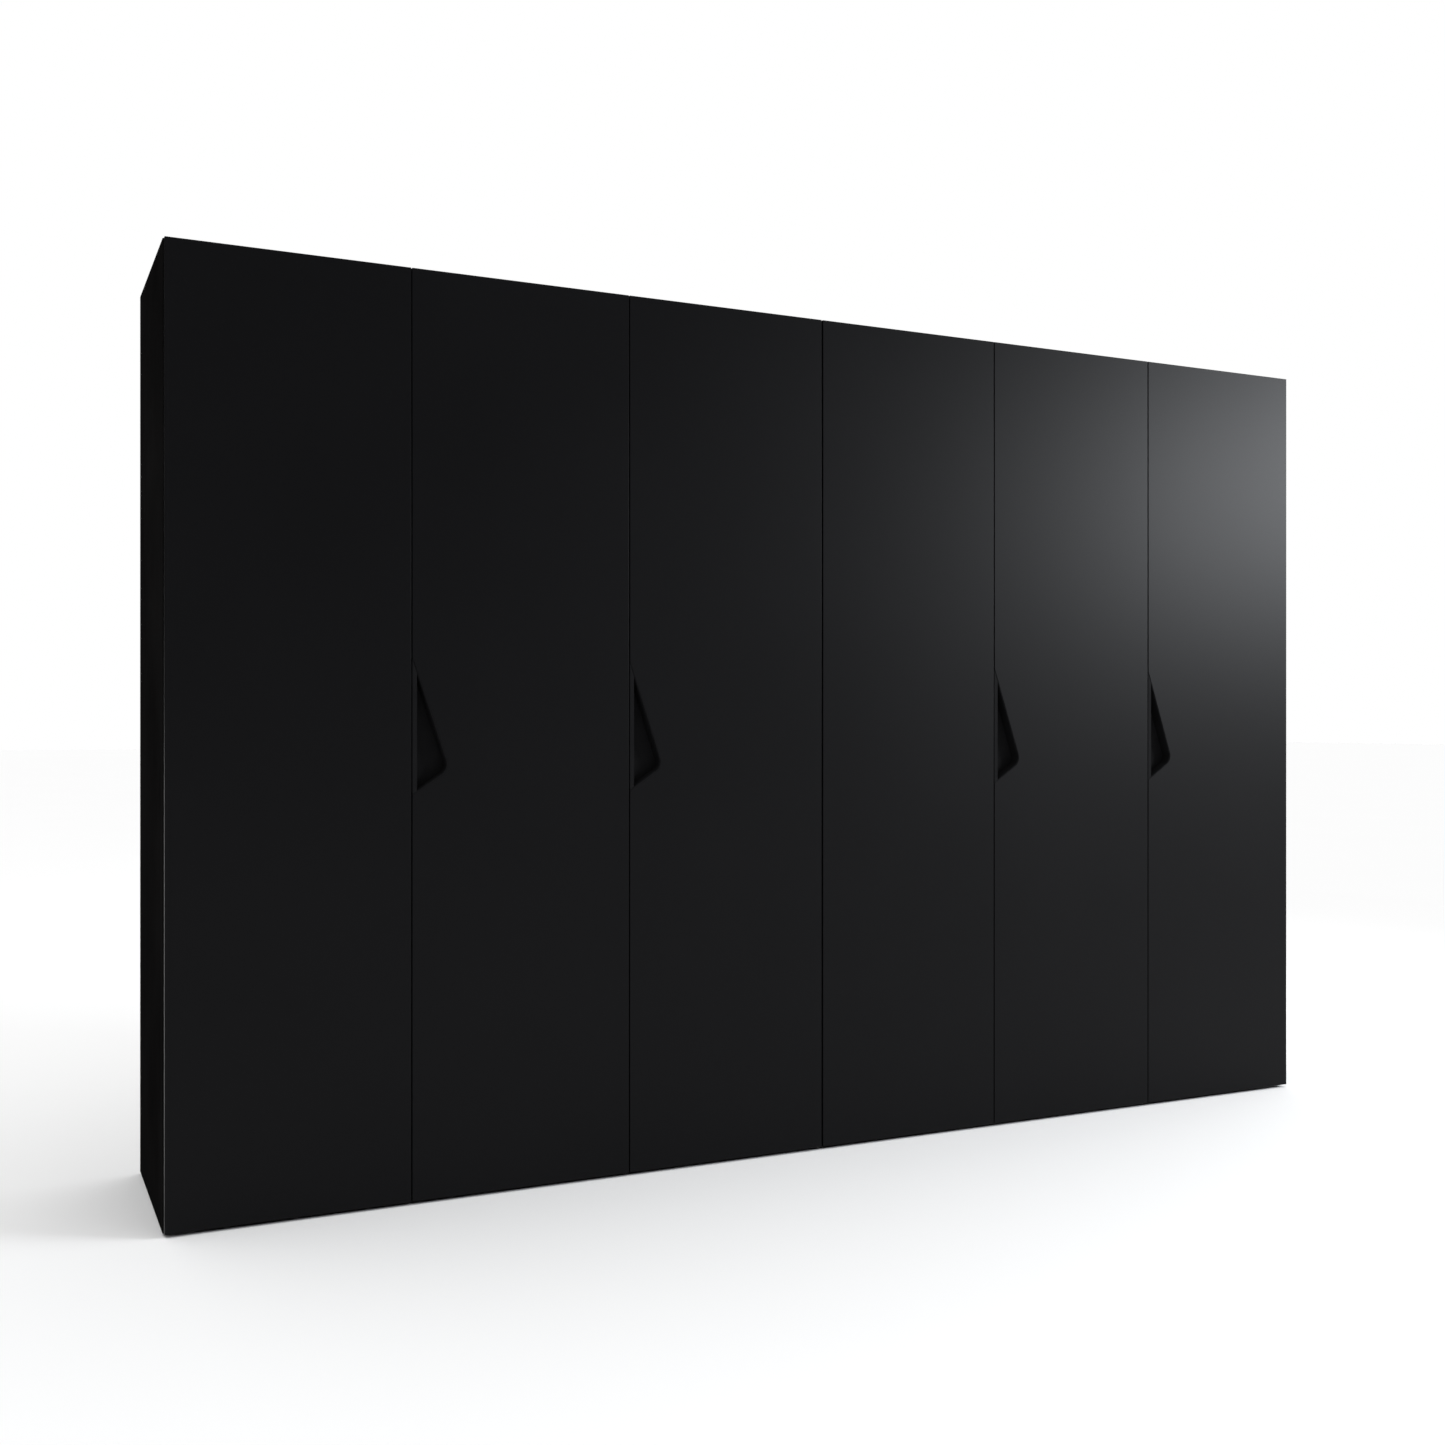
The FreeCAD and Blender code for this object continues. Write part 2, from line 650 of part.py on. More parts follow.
def wall_points(unit):
    """Holes for the wall screws, in the rear leg of each wall bracket."""
    middle = (value("%s + Sizes.board" % unit_left(unit)) + value(partition_left(unit))) / 2
    half = value("Sizes.wall_pitch / 2")
    height = value("%s - Sizes.bracket_leg * Sizes.bracket_hole" % CEILING)
    return [(middle + side * half, height) for side in (-1, 1)]


def bracket_screw_point(x):
    y = value("%s - Sizes.bracket_leg * Sizes.bracket_hole" % INNER_REAR)
    return x, y, value("%s - Sizes.bracket_steel" % CEILING)


def partition_board(unit):
    name = "partition_%d" % (unit + 1)
    corner = (partition_left(unit), CARCASS, FLOOR_TOP)
    board = box(name + "_board", ("Sizes.board", BOARD_DEPTH, BAY_HEIGHT), corner)
    left = value(partition_left(unit))
    right = value(partition_right(unit))
    drillings = plate_bores(left, -1) + support_drillings(right, 1)
    drillings += thread_bores(left, -1, stud_levels()[2:])
    drillings += holder_bores(holder_points(unit)[1])
    drillings += dowel_shapes(dowel_points(unit), value("Sizes.bore_play"))
    return part(drilled(name, board, drillings), name)


def back_panel(name, left, right, holes):
    tall = "Sizes.overall_height - Sizes.glide_height - Sizes.plinth_height"
    base = "Sizes.glide_height + Sizes.plinth_height"
    wide = "%s - %s" % (right, left)
    board = box(name + "_board", (wide, "Sizes.back_board", tall), (left, INNER_REAR, base))
    if not holes:
        return part(board, name)
    shapes = [rod(value("Sizes.wall_hole"), value("Sizes.back_board"), (x, value(INNER_REAR), z), (0, 1, 0))
              for x, z in holes]
    return part(drilled(name, board, shapes), name)


def shelf_stack(unit):
    boards = []
    left = "(%s + Sizes.shelf_play)" % partition_right(unit)
    long = "%s - Sizes.board - Sizes.shelf_play - %s" % (unit_right(unit), left)
    for step in range(len(SHELF_HEIGHTS)):
        clear = "(%s - Sizes.shelf_count * Sizes.board) / (Sizes.shelf_count + 1)" % BAY_HEIGHT
        z = "%s + %d * %s + %d * Sizes.board" % (FLOOR_TOP, step + 1, clear, step)
        shelf = box("shelf_%d_%d" % (unit, step), (long, SHELF_DEPTH, "Sizes.board"), (left, SHELF_FRONT, z))
        boards.append(shelf)
    return part(grouped("shelves_%d" % (unit + 1), boards), "shelves_%d" % (unit + 1))


def build_boards():
    for unit in UNITS:
        number = unit + 1
        inside = ("(%s + Sizes.board)" % unit_left(unit), "(%s - Sizes.board)" % unit_right(unit))
        side_board(unit, True)
        side_board(unit, False)
        partition_board(unit)
        brackets = [screw_bore(bracket_screw_point(x), (0, 0, 1)) for x, z in wall_points(unit)]
        dowels = dowel_shapes(dowel_points(unit), value("Sizes.bore_play"))
        flat_board("top_%d" % number, CEILING, inside, stud_levels()[:1], brackets + dowels)
        bottom_z = "%s - Sizes.board" % FLOOR_TOP
        flat_board("bottom_%d" % number, bottom_z, inside, stud_levels()[1:2], dowels)
        wide_bay = (inside[0], partition_left(unit))
        flat_board("hat_shelf_%d" % number, "Sizes.hat_height", wide_bay, stud_levels()[2:])
        kick = ("%s - %s" % (inside[1], inside[0]), "Sizes.board", "Sizes.plinth_height")
        kick_at = (inside[0], "%s + Sizes.plinth_setback" % CARCASS, "Sizes.glide_height")
        kick_board = box("plinth_%d_board" % number, kick, kick_at)
        nails = nail_bores(glide_points(unit)[4:])
        part(drilled("plinth_%d" % number, kick_board, nails), "plinth_%d" % number)
        middle = "(%s + Sizes.board / 2)" % partition_left(unit)
        seam = "Sizes.door_gap / 10"
        outer_left = "(%s - Sizes.rebate)" % inside[0]
        outer_right = "(%s + Sizes.rebate)" % inside[1]
        back_panel("back_wide_%d" % number, outer_left, "(%s - %s)" % (middle, seam), wall_points(unit))
        back_panel("back_narrow_%d" % number, "(%s + %s)" % (middle, seam), outer_right, ())
        shelf_stack(unit)


build_boards()


# ---------------------------------------------------------------- hinges

# Hinge forms lie with x into the door from its hinge edge, y = 0 on the door's back face
# and -y towards the door's face, for a door hung on its left edge.
CUP_X = "(Sizes.cup_edge + Sizes.cup_radius)"
AXIS_Y = "(-Sizes.axis_depth)"


def cup_form():
    """Pressed cup with a screwed flange and two cheeks that carry the hinge pin."""
    middle = (CUP_X, "0", "0")
    shell = cylinder("cup_shell", "Sizes.cup_radius", "Sizes.cup_depth", middle, (0, -1, 0))
    wide = "Sizes.cup_radius + Sizes.flange_rim"
    plate = cylinder("cup_plate", wide, "Sizes.flange_thick", middle, (0, 1, 0))
    ears = []
    for side in (-1, 1):
        spot = (CUP_X, "0", "%d * Sizes.flange_hole" % side)
        ears.append(cylinder("cup_ear_%d" % side, "Sizes.flange_tab", "Sizes.flange_thick", spot, (0, 1, 0)))
    bridge = box("cup_bridge", ("2 * Sizes.flange_tab", "Sizes.flange_thick", "2 * Sizes.flange_hole"),
                 (CUP_X + " - Sizes.flange_tab", "0", "-Sizes.flange_hole"))
    outside = joined("cup_outside", [shell, plate, bridge] + ears)
    trim = box("cup_trim", ("Sizes.flange_edge", "Sizes.flange_thick", "4 * Sizes.cup_radius"),
               ("0", "0", "-2 * Sizes.cup_radius"))
    depth = "Sizes.cup_depth - Sizes.cup_floor"
    bowl = "Sizes.cup_radius - Sizes.cup_wall"
    inside = cylinder("cup_inside", bowl, depth + " + Sizes.flange_thick",
                      (CUP_X, "Sizes.flange_thick", "0"), (0, -1, 0))
    pot = cut("cup_pot", outside, joined("cup_hollow", [inside, trim]))
    clear = "(Sizes.arm_width / 2 + Sizes.cheek_play)"
    cheeks = []
    for side in (-1, 1):
        low = clear if side > 0 else "-Sizes.cup_radius"
        corner = ("Sizes.cup_edge + Sizes.cup_wall / 2", "-" + depth.replace(" - ", " + "), low)
        size = ("Sizes.axis_inset", "Sizes.flange_tab", "Sizes.cup_radius - " + clear)
        cheeks.append(box("cheek_block_%d" % side, size, corner))
    room = cylinder("cheek_room", "Sizes.cup_radius - Sizes.cup_wall / 2",
                    "Sizes.cup_depth - Sizes.cup_floor / 2", middle, (0, -1, 0))
    held = doc.addObject("Part::Common", "cheeks")
    held.Base = joined("cheek_blocks", cheeks)
    held.Tool = room
    bore = cylinder("pin_bore", "Sizes.pin_radius + Sizes.pin_play", "2 * Sizes.pin_half + 2",
                    ("Sizes.axis_inset", AXIS_Y, "-Sizes.pin_half - 1"))
    return cut("hinge_cup_form", joined("cup_whole", [pot, held]), bore)


def arm_form(name, face):
    """Hinge arm whose plate sits on a board face that lies at x = face."""
    body = doc.addObject("PartDesign::Body", name)
    foot = "(%s + Sizes.plate_thick)" % face
    crown = "(%s + Sizes.arm_body)" % foot
    neck_far = "(Sizes.neck_inset + Sizes.arm_steel)"
    web_low = "(Sizes.web_back - Sizes.axis_depth)"
    web_high = "(Sizes.web_back - Sizes.axis_depth - Sizes.arm_steel)"
    bend = "Sizes.neck_bend"
    root = "Sizes.neck_root"
    swell = " + Sizes.neck_swell"
    tail = "Sizes.plate_line + Sizes.door_air + Sizes.arm_tail"
    outline = (
        ("Sizes.axis_inset", web_high),
        (neck_far, web_high),
        (neck_far, bend + swell),
        (crown, root + swell),
        (crown, tail),
        (foot, tail),
        (foot, root),
        ("Sizes.neck_inset", bend),
        ("Sizes.neck_inset", web_low),
        ("Sizes.axis_inset", web_low),
    )
    pad(body, polygon_sketch(body, name + "_outline", "XY_Plane", outline), "Sizes.arm_width", both_ways=True)
    eye = circle_sketch(body, name + "_eye", "XY_Plane", ("Sizes.axis_inset", AXIS_Y), "Sizes.eye_radius")
    pad(body, eye, "Sizes.arm_width", both_ways=True)
    start = root + " + Sizes.plate_thick"
    channel = polygon_sketch(body, name + "_channel", "XY_Plane",
                             ((foot, start), (crown, start), (crown, tail), (foot, tail)))
    pad(body, channel, "Sizes.arm_width + Sizes.arm_flare", both_ways=True)
    bore = circle_sketch(body, name + "_bore", "XY_Plane", ("Sizes.axis_inset", AXIS_Y), "Sizes.pin_radius")
    pocket(body, bore, "Sizes.arm_width", both_ways=True)
    crown_x = value(crown)
    long_run = value("Sizes.neck_root")

    def crown_edge(edge):
        room = edge.BoundBox
        return abs(room.XMin - crown_x) < 1e-4 and room.XLength < 1e-4 and room.YLength > long_run

    rounded(body, "Sizes.arm_round", crown_edge, name + "_round")
    return body


def plate_form():
    """Cross-shaped mounting plate with two countersunk holes, on a board face at x = 0."""
    line = "Sizes.plate_line"
    bar = box("plate_bar", ("Sizes.plate_thick", "Sizes.plate_long", "Sizes.plate_bar"),
              ("0", line + " - Sizes.plate_ahead", "-Sizes.plate_bar / 2"))
    wings = box("plate_wings",
                ("Sizes.plate_thick", "Sizes.plate_wing", "2 * (Sizes.plate_half + Sizes.plate_end)"),
                ("0", line + " - Sizes.plate_wing / 2", "-(Sizes.plate_half + Sizes.plate_end)"))
    drilled_at = []
    for side in (-1, 1):
        spot = (value("Sizes.plate_thick"), value(line), side * value("Sizes.plate_half"))
        drilled_at.append(aimed(socket, spot, (-1, 0, 0)))
    return drilled("hinge_plate_form", joined("plate_cross", [bar, wings]), drilled_at)


cup = cup_form()
doc.recompute()
flange_sockets = []
for side in (-1, 1):
    spot = (value(CUP_X), value("Sizes.flange_thick"), side * value("Sizes.flange_hole"))
    flange_sockets.append(aimed(socket, spot, (0, -1, 0)))
cup_drilled = drilled("hinge_cup_drilled", cup, flange_sockets)
side_arm = arm_form("side_arm", "(Sizes.board - Sizes.edge_reveal)")
middle_arm = arm_form("middle_arm", "((Sizes.board - Sizes.door_gap) / 2)")
plate_base = plate_form()
doc.recompute()


def build_hinges():
    arms, pins, plates = [], [], []
    back = value(DOOR_BACK)
    carcass = value(CARCASS)
    for door, edge, way, face in HANGING:
        mirrored = way < 0
        arm = middle_arm if door % 3 == 1 else side_arm
        cups = []
        for height in HINGE_HEIGHTS:
            cups.append(moved(cup_drilled, edge, back, height, mirrored))
            arms.append(moved(arm, edge, back, height, mirrored))
            plates.append(moved(plate_base, face, carcass, height, mirrored))
            axis = (edge + way * value("Sizes.axis_inset"), back - value("Sizes.axis_depth"),
                    height - value("Sizes.pin_half"))
            pins.append(rod(value("Sizes.pin_radius"), value("2 * Sizes.pin_half"), axis, (0, 0, 1)))
        shape_part("hinge_cups_%d" % (door + 1), cups)
        shape_part("cup_screws_%d" % (door + 1), [
            aimed(screw, (edge + way * value(CUP_X), back + value("Sizes.flange_thick"),
                          height + side * value("Sizes.flange_hole")), (0, -1, 0))
            for height in HINGE_HEIGHTS for side in (-1, 1)])
    shape_part("hinge_arms", arms)
    shape_part("hinge_plates", plates)
    shape_part("hinge_pins", pins)


build_hinges()


# ---------------------------------------------------------------- doors and handles

# Door and handle bodies lie with x from the door's left edge, y = 0 on its back face,
# -y towards its face, and z from the floor.
UPPER_RUN = "(Sizes.handle_reach / (Sizes.handle_top - Sizes.handle_corner))"
LOWER_RUN = "(Sizes.handle_reach / (Sizes.handle_corner - Sizes.handle_low))"
UPPER_SKEW = "sqrt(1 + %s ^ 2)" % UPPER_RUN
LOWER_SKEW = "sqrt(1 + %s ^ 2)" % LOWER_RUN


def outline_heights(inset, x):
    """Upper and lower slanted edge of the pocket, moved in by inset, at distance x from the door edge."""
    high = "Sizes.handle_top - ((%s) + (%s) * %s) / %s" % (x, inset, UPPER_SKEW, UPPER_RUN)
    low = "Sizes.handle_low + ((%s) + (%s) * %s) / %s" % (x, inset, LOWER_SKEW, LOWER_RUN)
    return high, low


def handle_strip(inset, start, end):
    """Upright strip of the pocket between two distances from the door edge."""
    near_high, near_low = outline_heights(inset, start)
    far_high, far_low = outline_heights(inset, end)
    return [(start, near_high), (end, far_high), (end, far_low), (start, near_low)]


def handle_outline(inset, start):
    """Triangle of the pocket, moved in from its slanted edges by inset and cut off at x = start."""
    high, low = outline_heights(inset, start)
    corner_z = "(Sizes.handle_top * %s + Sizes.handle_low * %s - (%s) * (%s - %s)) / (%s + %s)" % (
        UPPER_RUN, LOWER_RUN, inset, UPPER_SKEW, LOWER_SKEW, UPPER_RUN, LOWER_RUN)
    corner_x = "(Sizes.handle_top - %s) * %s - (%s) * %s" % (corner_z, UPPER_RUN, inset, UPPER_SKEW)
    return [(start, high), (corner_x, corner_z), (start, low)]


def ear_places():
    """Corner of each square screw ear behind the door, as expression pairs."""
    slope_x = "(Sizes.handle_top - Sizes.ear_height - Sizes.ear_size / 2) * %s" % UPPER_RUN
    slope_z = "Sizes.handle_low + Sizes.ear_low / %s" % LOWER_RUN
    return (
        (slope_x + " - Sizes.ear_lap", "Sizes.ear_height"),
        ("Sizes.handle_reach - 2 * Sizes.ear_lap", "Sizes.handle_corner - Sizes.ear_size / 2"),
        ("Sizes.ear_low", slope_z + " - Sizes.ear_size + Sizes.ear_lap / 2"),
    )


def ear_screw_spots():
    """Screw centres in the ears, as expression pairs."""
    shifts = (("0.62", "0.5"), ("0.62", "0.5"), ("0.5", "0.36"))
    return [("%s + %s * Sizes.ear_size" % (x, across), "%s + %s * Sizes.ear_size" % (z, up))
            for (x, z), (across, up) in zip(ear_places(), shifts)]


def door_panel(door):
    """Door board: rounded edges, hinge bores and, on the doors with a handle, the pocket's cut-out."""
    name = "door_%d" % (door + 1)
    body = doc.addObject("PartDesign::Body", name)
    place(body, door_left(door), DOOR_BACK, "0")
    top = "Sizes.door_bottom + %s" % DOOR_HEIGHT
    outline = (("0", "Sizes.door_bottom"), (DOOR_WIDTH, "Sizes.door_bottom"), (DOOR_WIDTH, top), ("0", top))
    pad(body, polygon_sketch(body, name + "_board", "XZ_Plane", outline), "Sizes.door_board")
    rounded(body, "Sizes.door_round", lambda edge: not along_y(edge), name + "_edges")
    left_hung = door % 3 == 0
    cup_x = CUP_X if left_hung else "%s - %s" % (DOOR_WIDTH, CUP_X)
    first = "Sizes.door_bottom + Sizes.hinge_first"
    cup_bore = "Sizes.cup_radius + Sizes.bore_play"
    cups = circle_sketch(body, name + "_cup", "XZ_Plane", (cup_x, first), cup_bore)
    bores = [pocket(body, cups, "Sizes.cup_depth + 2 * Sizes.bore_play", reversed_way=True)]
    for side in (-1, 1):
        spot = (cup_x, "%s + %d * Sizes.flange_hole" % (first, side))
        for kind, radius, depth in (("head", "Sizes.screw_head", "Sizes.screw_sink - Sizes.flange_thick"),
                                    ("pilot", "Sizes.screw_radius", "Sizes.screw_length + Sizes.screw_sink")):
            label = "%s_%s_%d" % (name, kind, side + 1)
            hole = circle_sketch(body, label, "XZ_Plane", spot, radius + " + Sizes.bore_play")
            bores.append(pocket(body, hole, depth, reversed_way=True))
    row = body.newObject("PartDesign::LinearPattern", name + "_hinge_row")
    row.Originals = bores
    row.Direction = (plane(body, "Z_Axis"), [""])
    row.setExpression("Length", "%s - 2 * Sizes.hinge_first" % DOOR_HEIGHT)
    row.setExpression("Occurrences", "Sizes.hinge_count")
    body.Tip = row
    doc.recompute()
    if not left_hung:
        notch = handle_outline("0", "-Sizes.handle_wall")
        cut_out = polygon_sketch(body, name + "_notch", "XZ_Plane", notch, corner=(1, "Sizes.handle_round"))
        pocket(body, cut_out, "Sizes.door_board", reversed_way=True)
        for index, spot in enumerate(ear_screw_spots()):
            label = "%s_ear_pilot_%d" % (name, index)
            hole = circle_sketch(body, label, "XZ_Plane", spot, "Sizes.screw_radius + Sizes.bore_play")
            pocket(body, hole, "Sizes.screw_length", reversed_way=True)
    return part(body, name)


def handle_shell(door):
    """Moulded finger pocket: a deep cup, a hook beside it and the lip in front of the hook."""
    name = "handle_shell_%d" % (door + 1)
    body = doc.addObject("PartDesign::Body", name + "_moulding")
    place(body, door_left(door), DOOR_BACK, "0")
    outer = "Sizes.handle_fit"
    inner = "(Sizes.handle_fit + Sizes.handle_wall)"
    rim = "(Sizes.door_board - Sizes.handle_sink)"
    behind = "(Sizes.handle_depth - Sizes.door_board)"
    deep_start = "(Sizes.lip_width + Sizes.handle_wall)"
    outer_corner = (1, "Sizes.handle_round - " + outer)
    inner_corner = (1, "Sizes.handle_round - " + inner)
    front = handle_outline(outer, "Sizes.handle_fit")
    pad(body, polygon_sketch(body, name + "_front", "XZ_Plane", front, corner=outer_corner), rim)
    back = handle_outline(outer, "Sizes.lip_width")
    back = polygon_sketch(body, name + "_back", "XZ_Plane", back, corner=outer_corner)
    pad(body, back, behind + " + Sizes.handle_wall", reversed_way=True)
    for index, (x, z) in enumerate(ear_places()):
        far_x, far_z = "%s + Sizes.ear_size" % x, "%s + Sizes.ear_size" % z
        square = ((x, z), (far_x, z), (far_x, far_z), (x, far_z))
        ear = polygon_sketch(body, "%s_ear_%d" % (name, index), "XZ_Plane", square)
        pad(body, ear, "Sizes.ear_thick", reversed_way=True)
    deep = handle_outline(inner, deep_start)
    cup_part = polygon_sketch(body, name + "_cup", "XZ_Plane", deep, rim, inner_corner)
    pocket(body, cup_part, rim + " + " + behind)
    beyond = "(Sizes.lip_width + 2 * Sizes.handle_wall)"
    hook = polygon_sketch(body, name + "_hook", "XZ_Plane", handle_strip(inner, "Sizes.handle_wall", beyond), rim)
    pocket(body, hook, "Sizes.hook_depth + Sizes.lip_thick")
    sockets = [aimed(socket, point, (0, -1, 0)) for point in ear_screw_heads(door)]
    shell = drilled(name + "_drilled", body, sockets)
    return part(grouped(name, [shell, grip_lip(door, inner, rim)]), name)


def grip_lip(door, inner, rim):
    """Strip glued into the front of the shell, along the door's edge, that the fingertips pull on."""
    name = "grip_lip_%d" % (door + 1)
    body = doc.addObject("PartDesign::Body", name)
    place(body, door_left(door), DOOR_BACK, "0")
    start = "(Sizes.handle_wall + Sizes.lip_play)"
    outline = handle_strip("(%s + Sizes.lip_play)" % inner, start, "Sizes.lip_width")
    strip = polygon_sketch(body, name + "_strip", "XZ_Plane", outline, rim + " - Sizes.lip_thick")
    pad(body, strip, "Sizes.lip_thick")
    return body


def ear_screw_heads(door):
    left, back = value(door_left(door)), value("%s + Sizes.ear_thick" % DOOR_BACK)
    return [(left + value(x), back, value(z)) for x, z in ear_screw_spots()]


def build_doors():
    for door in range(6):
        door_panel(door)
        if door % 3:
            handle_shell(door)
            shape_part("handle_screws_%d" % (door + 1),
                       [aimed(screw, point, (0, -1, 0)) for point in ear_screw_heads(door)])


build_doors()


# ---------------------------------------------------------------- fittings

def cam_form():
    """Cam lock standing on the board's underside, its mouth towards -X."""
    drum = cylinder("cam_drum", "Sizes.cam_radius", "Sizes.cam_height", ("0", "0", "0"))
    mouth = cylinder("cam_mouth", "Sizes.stud_radius + Sizes.bore_play", "2 * Sizes.cam_radius",
                     ("Sizes.cam_mouth - 2 * Sizes.cam_radius", "0", "Sizes.board / 2"), (1, 0, 0))
    key = cross("cam_cross", "Sizes.cam_cross", "Sizes.cam_blade", "Sizes.cam_key")
    return cut("cam_form", drum, joined("cam_cuts", [mouth, key]))


def stud_form():
    """Cam stud with its thread towards -X and its shank towards +X."""
    start = ("0", "0", "0")
    thread = cylinder("stud_thread", "Sizes.stud_thread", "Sizes.stud_bite",
                      ("-Sizes.stud_bite", "0", "0"), (1, 0, 0))
    shank = cylinder("stud_shank", "Sizes.stud_radius", "Sizes.cam_inset - Sizes.cam_radius - 1",
                     start, (1, 0, 0))
    neck_end = "(Sizes.cam_inset - Sizes.stud_head)"
    neck = cylinder("stud_neck", "Sizes.stud_thread", neck_end, start, (1, 0, 0))
    head = cylinder("stud_head", "Sizes.stud_radius", "Sizes.stud_head", (neck_end, "0", "0"), (1, 0, 0))
    return joined("stud_form", [thread, shank, neck, head])


def oval(name, corner, long, wide, tall):
    """Bar of oval section along X, its section centred on the corner's y and z."""
    x, y, z = corner
    straight = "((%s) - (%s))" % (tall, wide)
    middle = box(name + "_middle", (long, wide, straight),
                 (x, "%s - (%s) / 2" % (y, wide), "%s - %s / 2" % (z, straight)))
    ends = []
    for side in (-1, 1):
        spot = (x, y, "%s + %d * %s / 2" % (z, side, straight))
        ends.append(cylinder("%s_end_%d" % (name, side), "(%s) / 2" % wide, long, spot, (1, 0, 0)))
    return joined(name, [middle] + ends)


def holder_form():
    """Rail holder: oval flange on a board face at x = 0 and a socket towards +X."""
    origin = ("0", "0", "0")
    outer = "Sizes.rail_%s + 2 * Sizes.holder_wall"
    flange = oval("holder_flange", origin, "Sizes.holder_plate", outer % "wide", "2 * Sizes.holder_flange")
    collar = oval("holder_collar", origin, "Sizes.holder_reach", outer % "wide", outer % "tall")
    room = oval("holder_room", ("Sizes.holder_plate", "0", "0"), "Sizes.holder_reach",
                "Sizes.rail_wide + Sizes.holder_play", "Sizes.rail_tall + Sizes.holder_play")
    blank = cut("holder_blank", joined("holder_body", [flange, collar]), room)
    heads = [aimed(socket, (x, y, z), (-1, 0, 0)) for x, y, z in holder_screw_points(0, 0, 0, 1)]
    return drilled("holder_form", blank, heads)


def bracket_form():
    """Angle bracket: one leg under the top at z = 0, the other against the back at y = 0."""
    steel, width, leg = "Sizes.bracket_steel", "Sizes.bracket_width", "Sizes.bracket_leg"
    upper = box("bracket_upper", (width, leg, steel), ("-%s / 2" % width, "-" + leg, "-" + steel))
    rear = box("bracket_rear", (width, steel, leg), ("-%s / 2" % width, "-" + steel, "-" + leg))
    reach = value("Sizes.bracket_hole * Sizes.bracket_leg")
    hole = rod(value("Sizes.wall_hole"), value("2 * Sizes.bracket_steel"),
               (0, -value("1.5 * Sizes.bracket_steel"), -reach), (0, 1, 0))
    head = aimed(socket, (0, -reach, -value("Sizes.bracket_steel")), (0, 0, 1))
    return drilled("bracket_form", joined("bracket_angle", [upper, rear]), [hole, head])


def link_form():
    """Connector through both sides, centred on the joint between the units."""
    reach = "(Sizes.board + Sizes.link_cap)"
    sleeve = cylinder("link_sleeve", "Sizes.link_radius", "2 * " + reach, ("-" + reach, "0", "0"), (1, 0, 0))
    caps = []
    for side, start in (("near", "-" + reach), ("far", "Sizes.board")):
        cap = cylinder("link_cap_" + side, "Sizes.link_head", "Sizes.link_cap", (start, "0", "0"), (1, 0, 0))
        caps.append(cap)
    slots = []
    for index, (wide, tall) in enumerate((("link_blade", "link_key"), ("link_key", "link_blade"))):
        corner = ("-" + reach, "-Sizes.%s / 2" % wide, "-Sizes.%s / 2" % tall)
        size = ("Sizes.link_deep", "Sizes." + wide, "Sizes." + tall)
        slots.append(box("link_slot_%d" % index, size, corner))
    return cut("link_form", joined("link_body", [sleeve] + caps), joined("link_slots", slots))


def glide_form():
    foot = cylinder("glide_foot", "Sizes.glide_radius", "Sizes.glide_height", ("0", "0", "0"))
    nail_height = "Sizes.glide_height + Sizes.nail_length"
    nail = cylinder("glide_nail", "Sizes.nail_radius", nail_height, ("0", "0", "0"))
    return joined("glide_form", [foot, nail])


def build_rails():
    rails, holders = [], []
    holder = holder_form()
    doc.recompute()
    for unit in UNITS:
        near, far = holder_points(unit)
        start = "(%s + Sizes.board + Sizes.holder_plate + Sizes.shelf_play / 2)" % unit_left(unit)
        end = "(%s - Sizes.holder_plate - Sizes.shelf_play / 2)" % partition_left(unit)
        spot = (start, "(%s + %s) / 2" % (SHELF_FRONT, INNER_REAR), "(Sizes.hat_height - Sizes.rail_drop)")
        long = "%s - %s" % (end, start)
        skin = oval("rail_skin_%d" % unit, spot, long, "Sizes.rail_wide", "Sizes.rail_tall")
        core = oval("rail_core_%d" % unit, spot, long, "(Sizes.rail_wide - 2 * Sizes.rail_wall)",
                    "(Sizes.rail_tall - 2 * Sizes.rail_wall)")
        rails.append(cut("rail_%d" % unit, skin, core))
        for x, y, z, way in (near, far):
            holders.append(moved(holder, x, y, z, way < 0))
    part(grouped("hanging_rails", rails), "hanging_rails")
    shape_part("rail_holders", holders)


def build_joinery():
    cams, studs, dowels = [], [], []
    cam, stud = cam_form(), stud_form()
    doc.recompute()
    for unit in UNITS:
        inside = (value("%s + Sizes.board" % unit_left(unit)), value("%s - Sizes.board" % unit_right(unit)))
        for index, (height, front, depth) in enumerate(stud_levels()):
            right = value(partition_left(unit)) if index == 2 else inside[1]
            for end, way in ((inside[0], 1), (right, -1)):
                for y in stud_rows(front, depth):
                    base = height - value("Sizes.board / 2")
                    cams.append(moved(cam, end + way * value("Sizes.cam_inset"), y, base, way < 0))
                    studs.append(moved(stud, end, y, height, way < 0))
        dowels += dowel_shapes(dowel_points(unit), 0)
    shape_part("cam_locks", cams)
    shape_part("cam_studs", studs)
    shape_part("dowels", dowels)


def build_supports():
    """Shelf support pins in the used drillings, under the shelves."""
    pins = []
    radius = value("Sizes.support_radius")
    inside, outside = value("Sizes.support_inside"), value("Sizes.support_outside")
    for unit in UNITS:
        faces = ((value(partition_right(unit)), 1), (value("%s - Sizes.board" % unit_right(unit)), -1))
        for face, way in faces:
            for y in support_rows():
                for height in SHELF_HEIGHTS:
                    start = (face - way * inside, y, height - radius)
                    pins.append(rod(radius, inside + outside, start, (way, 0, 0)))
    shape_part("shelf_pins", pins)


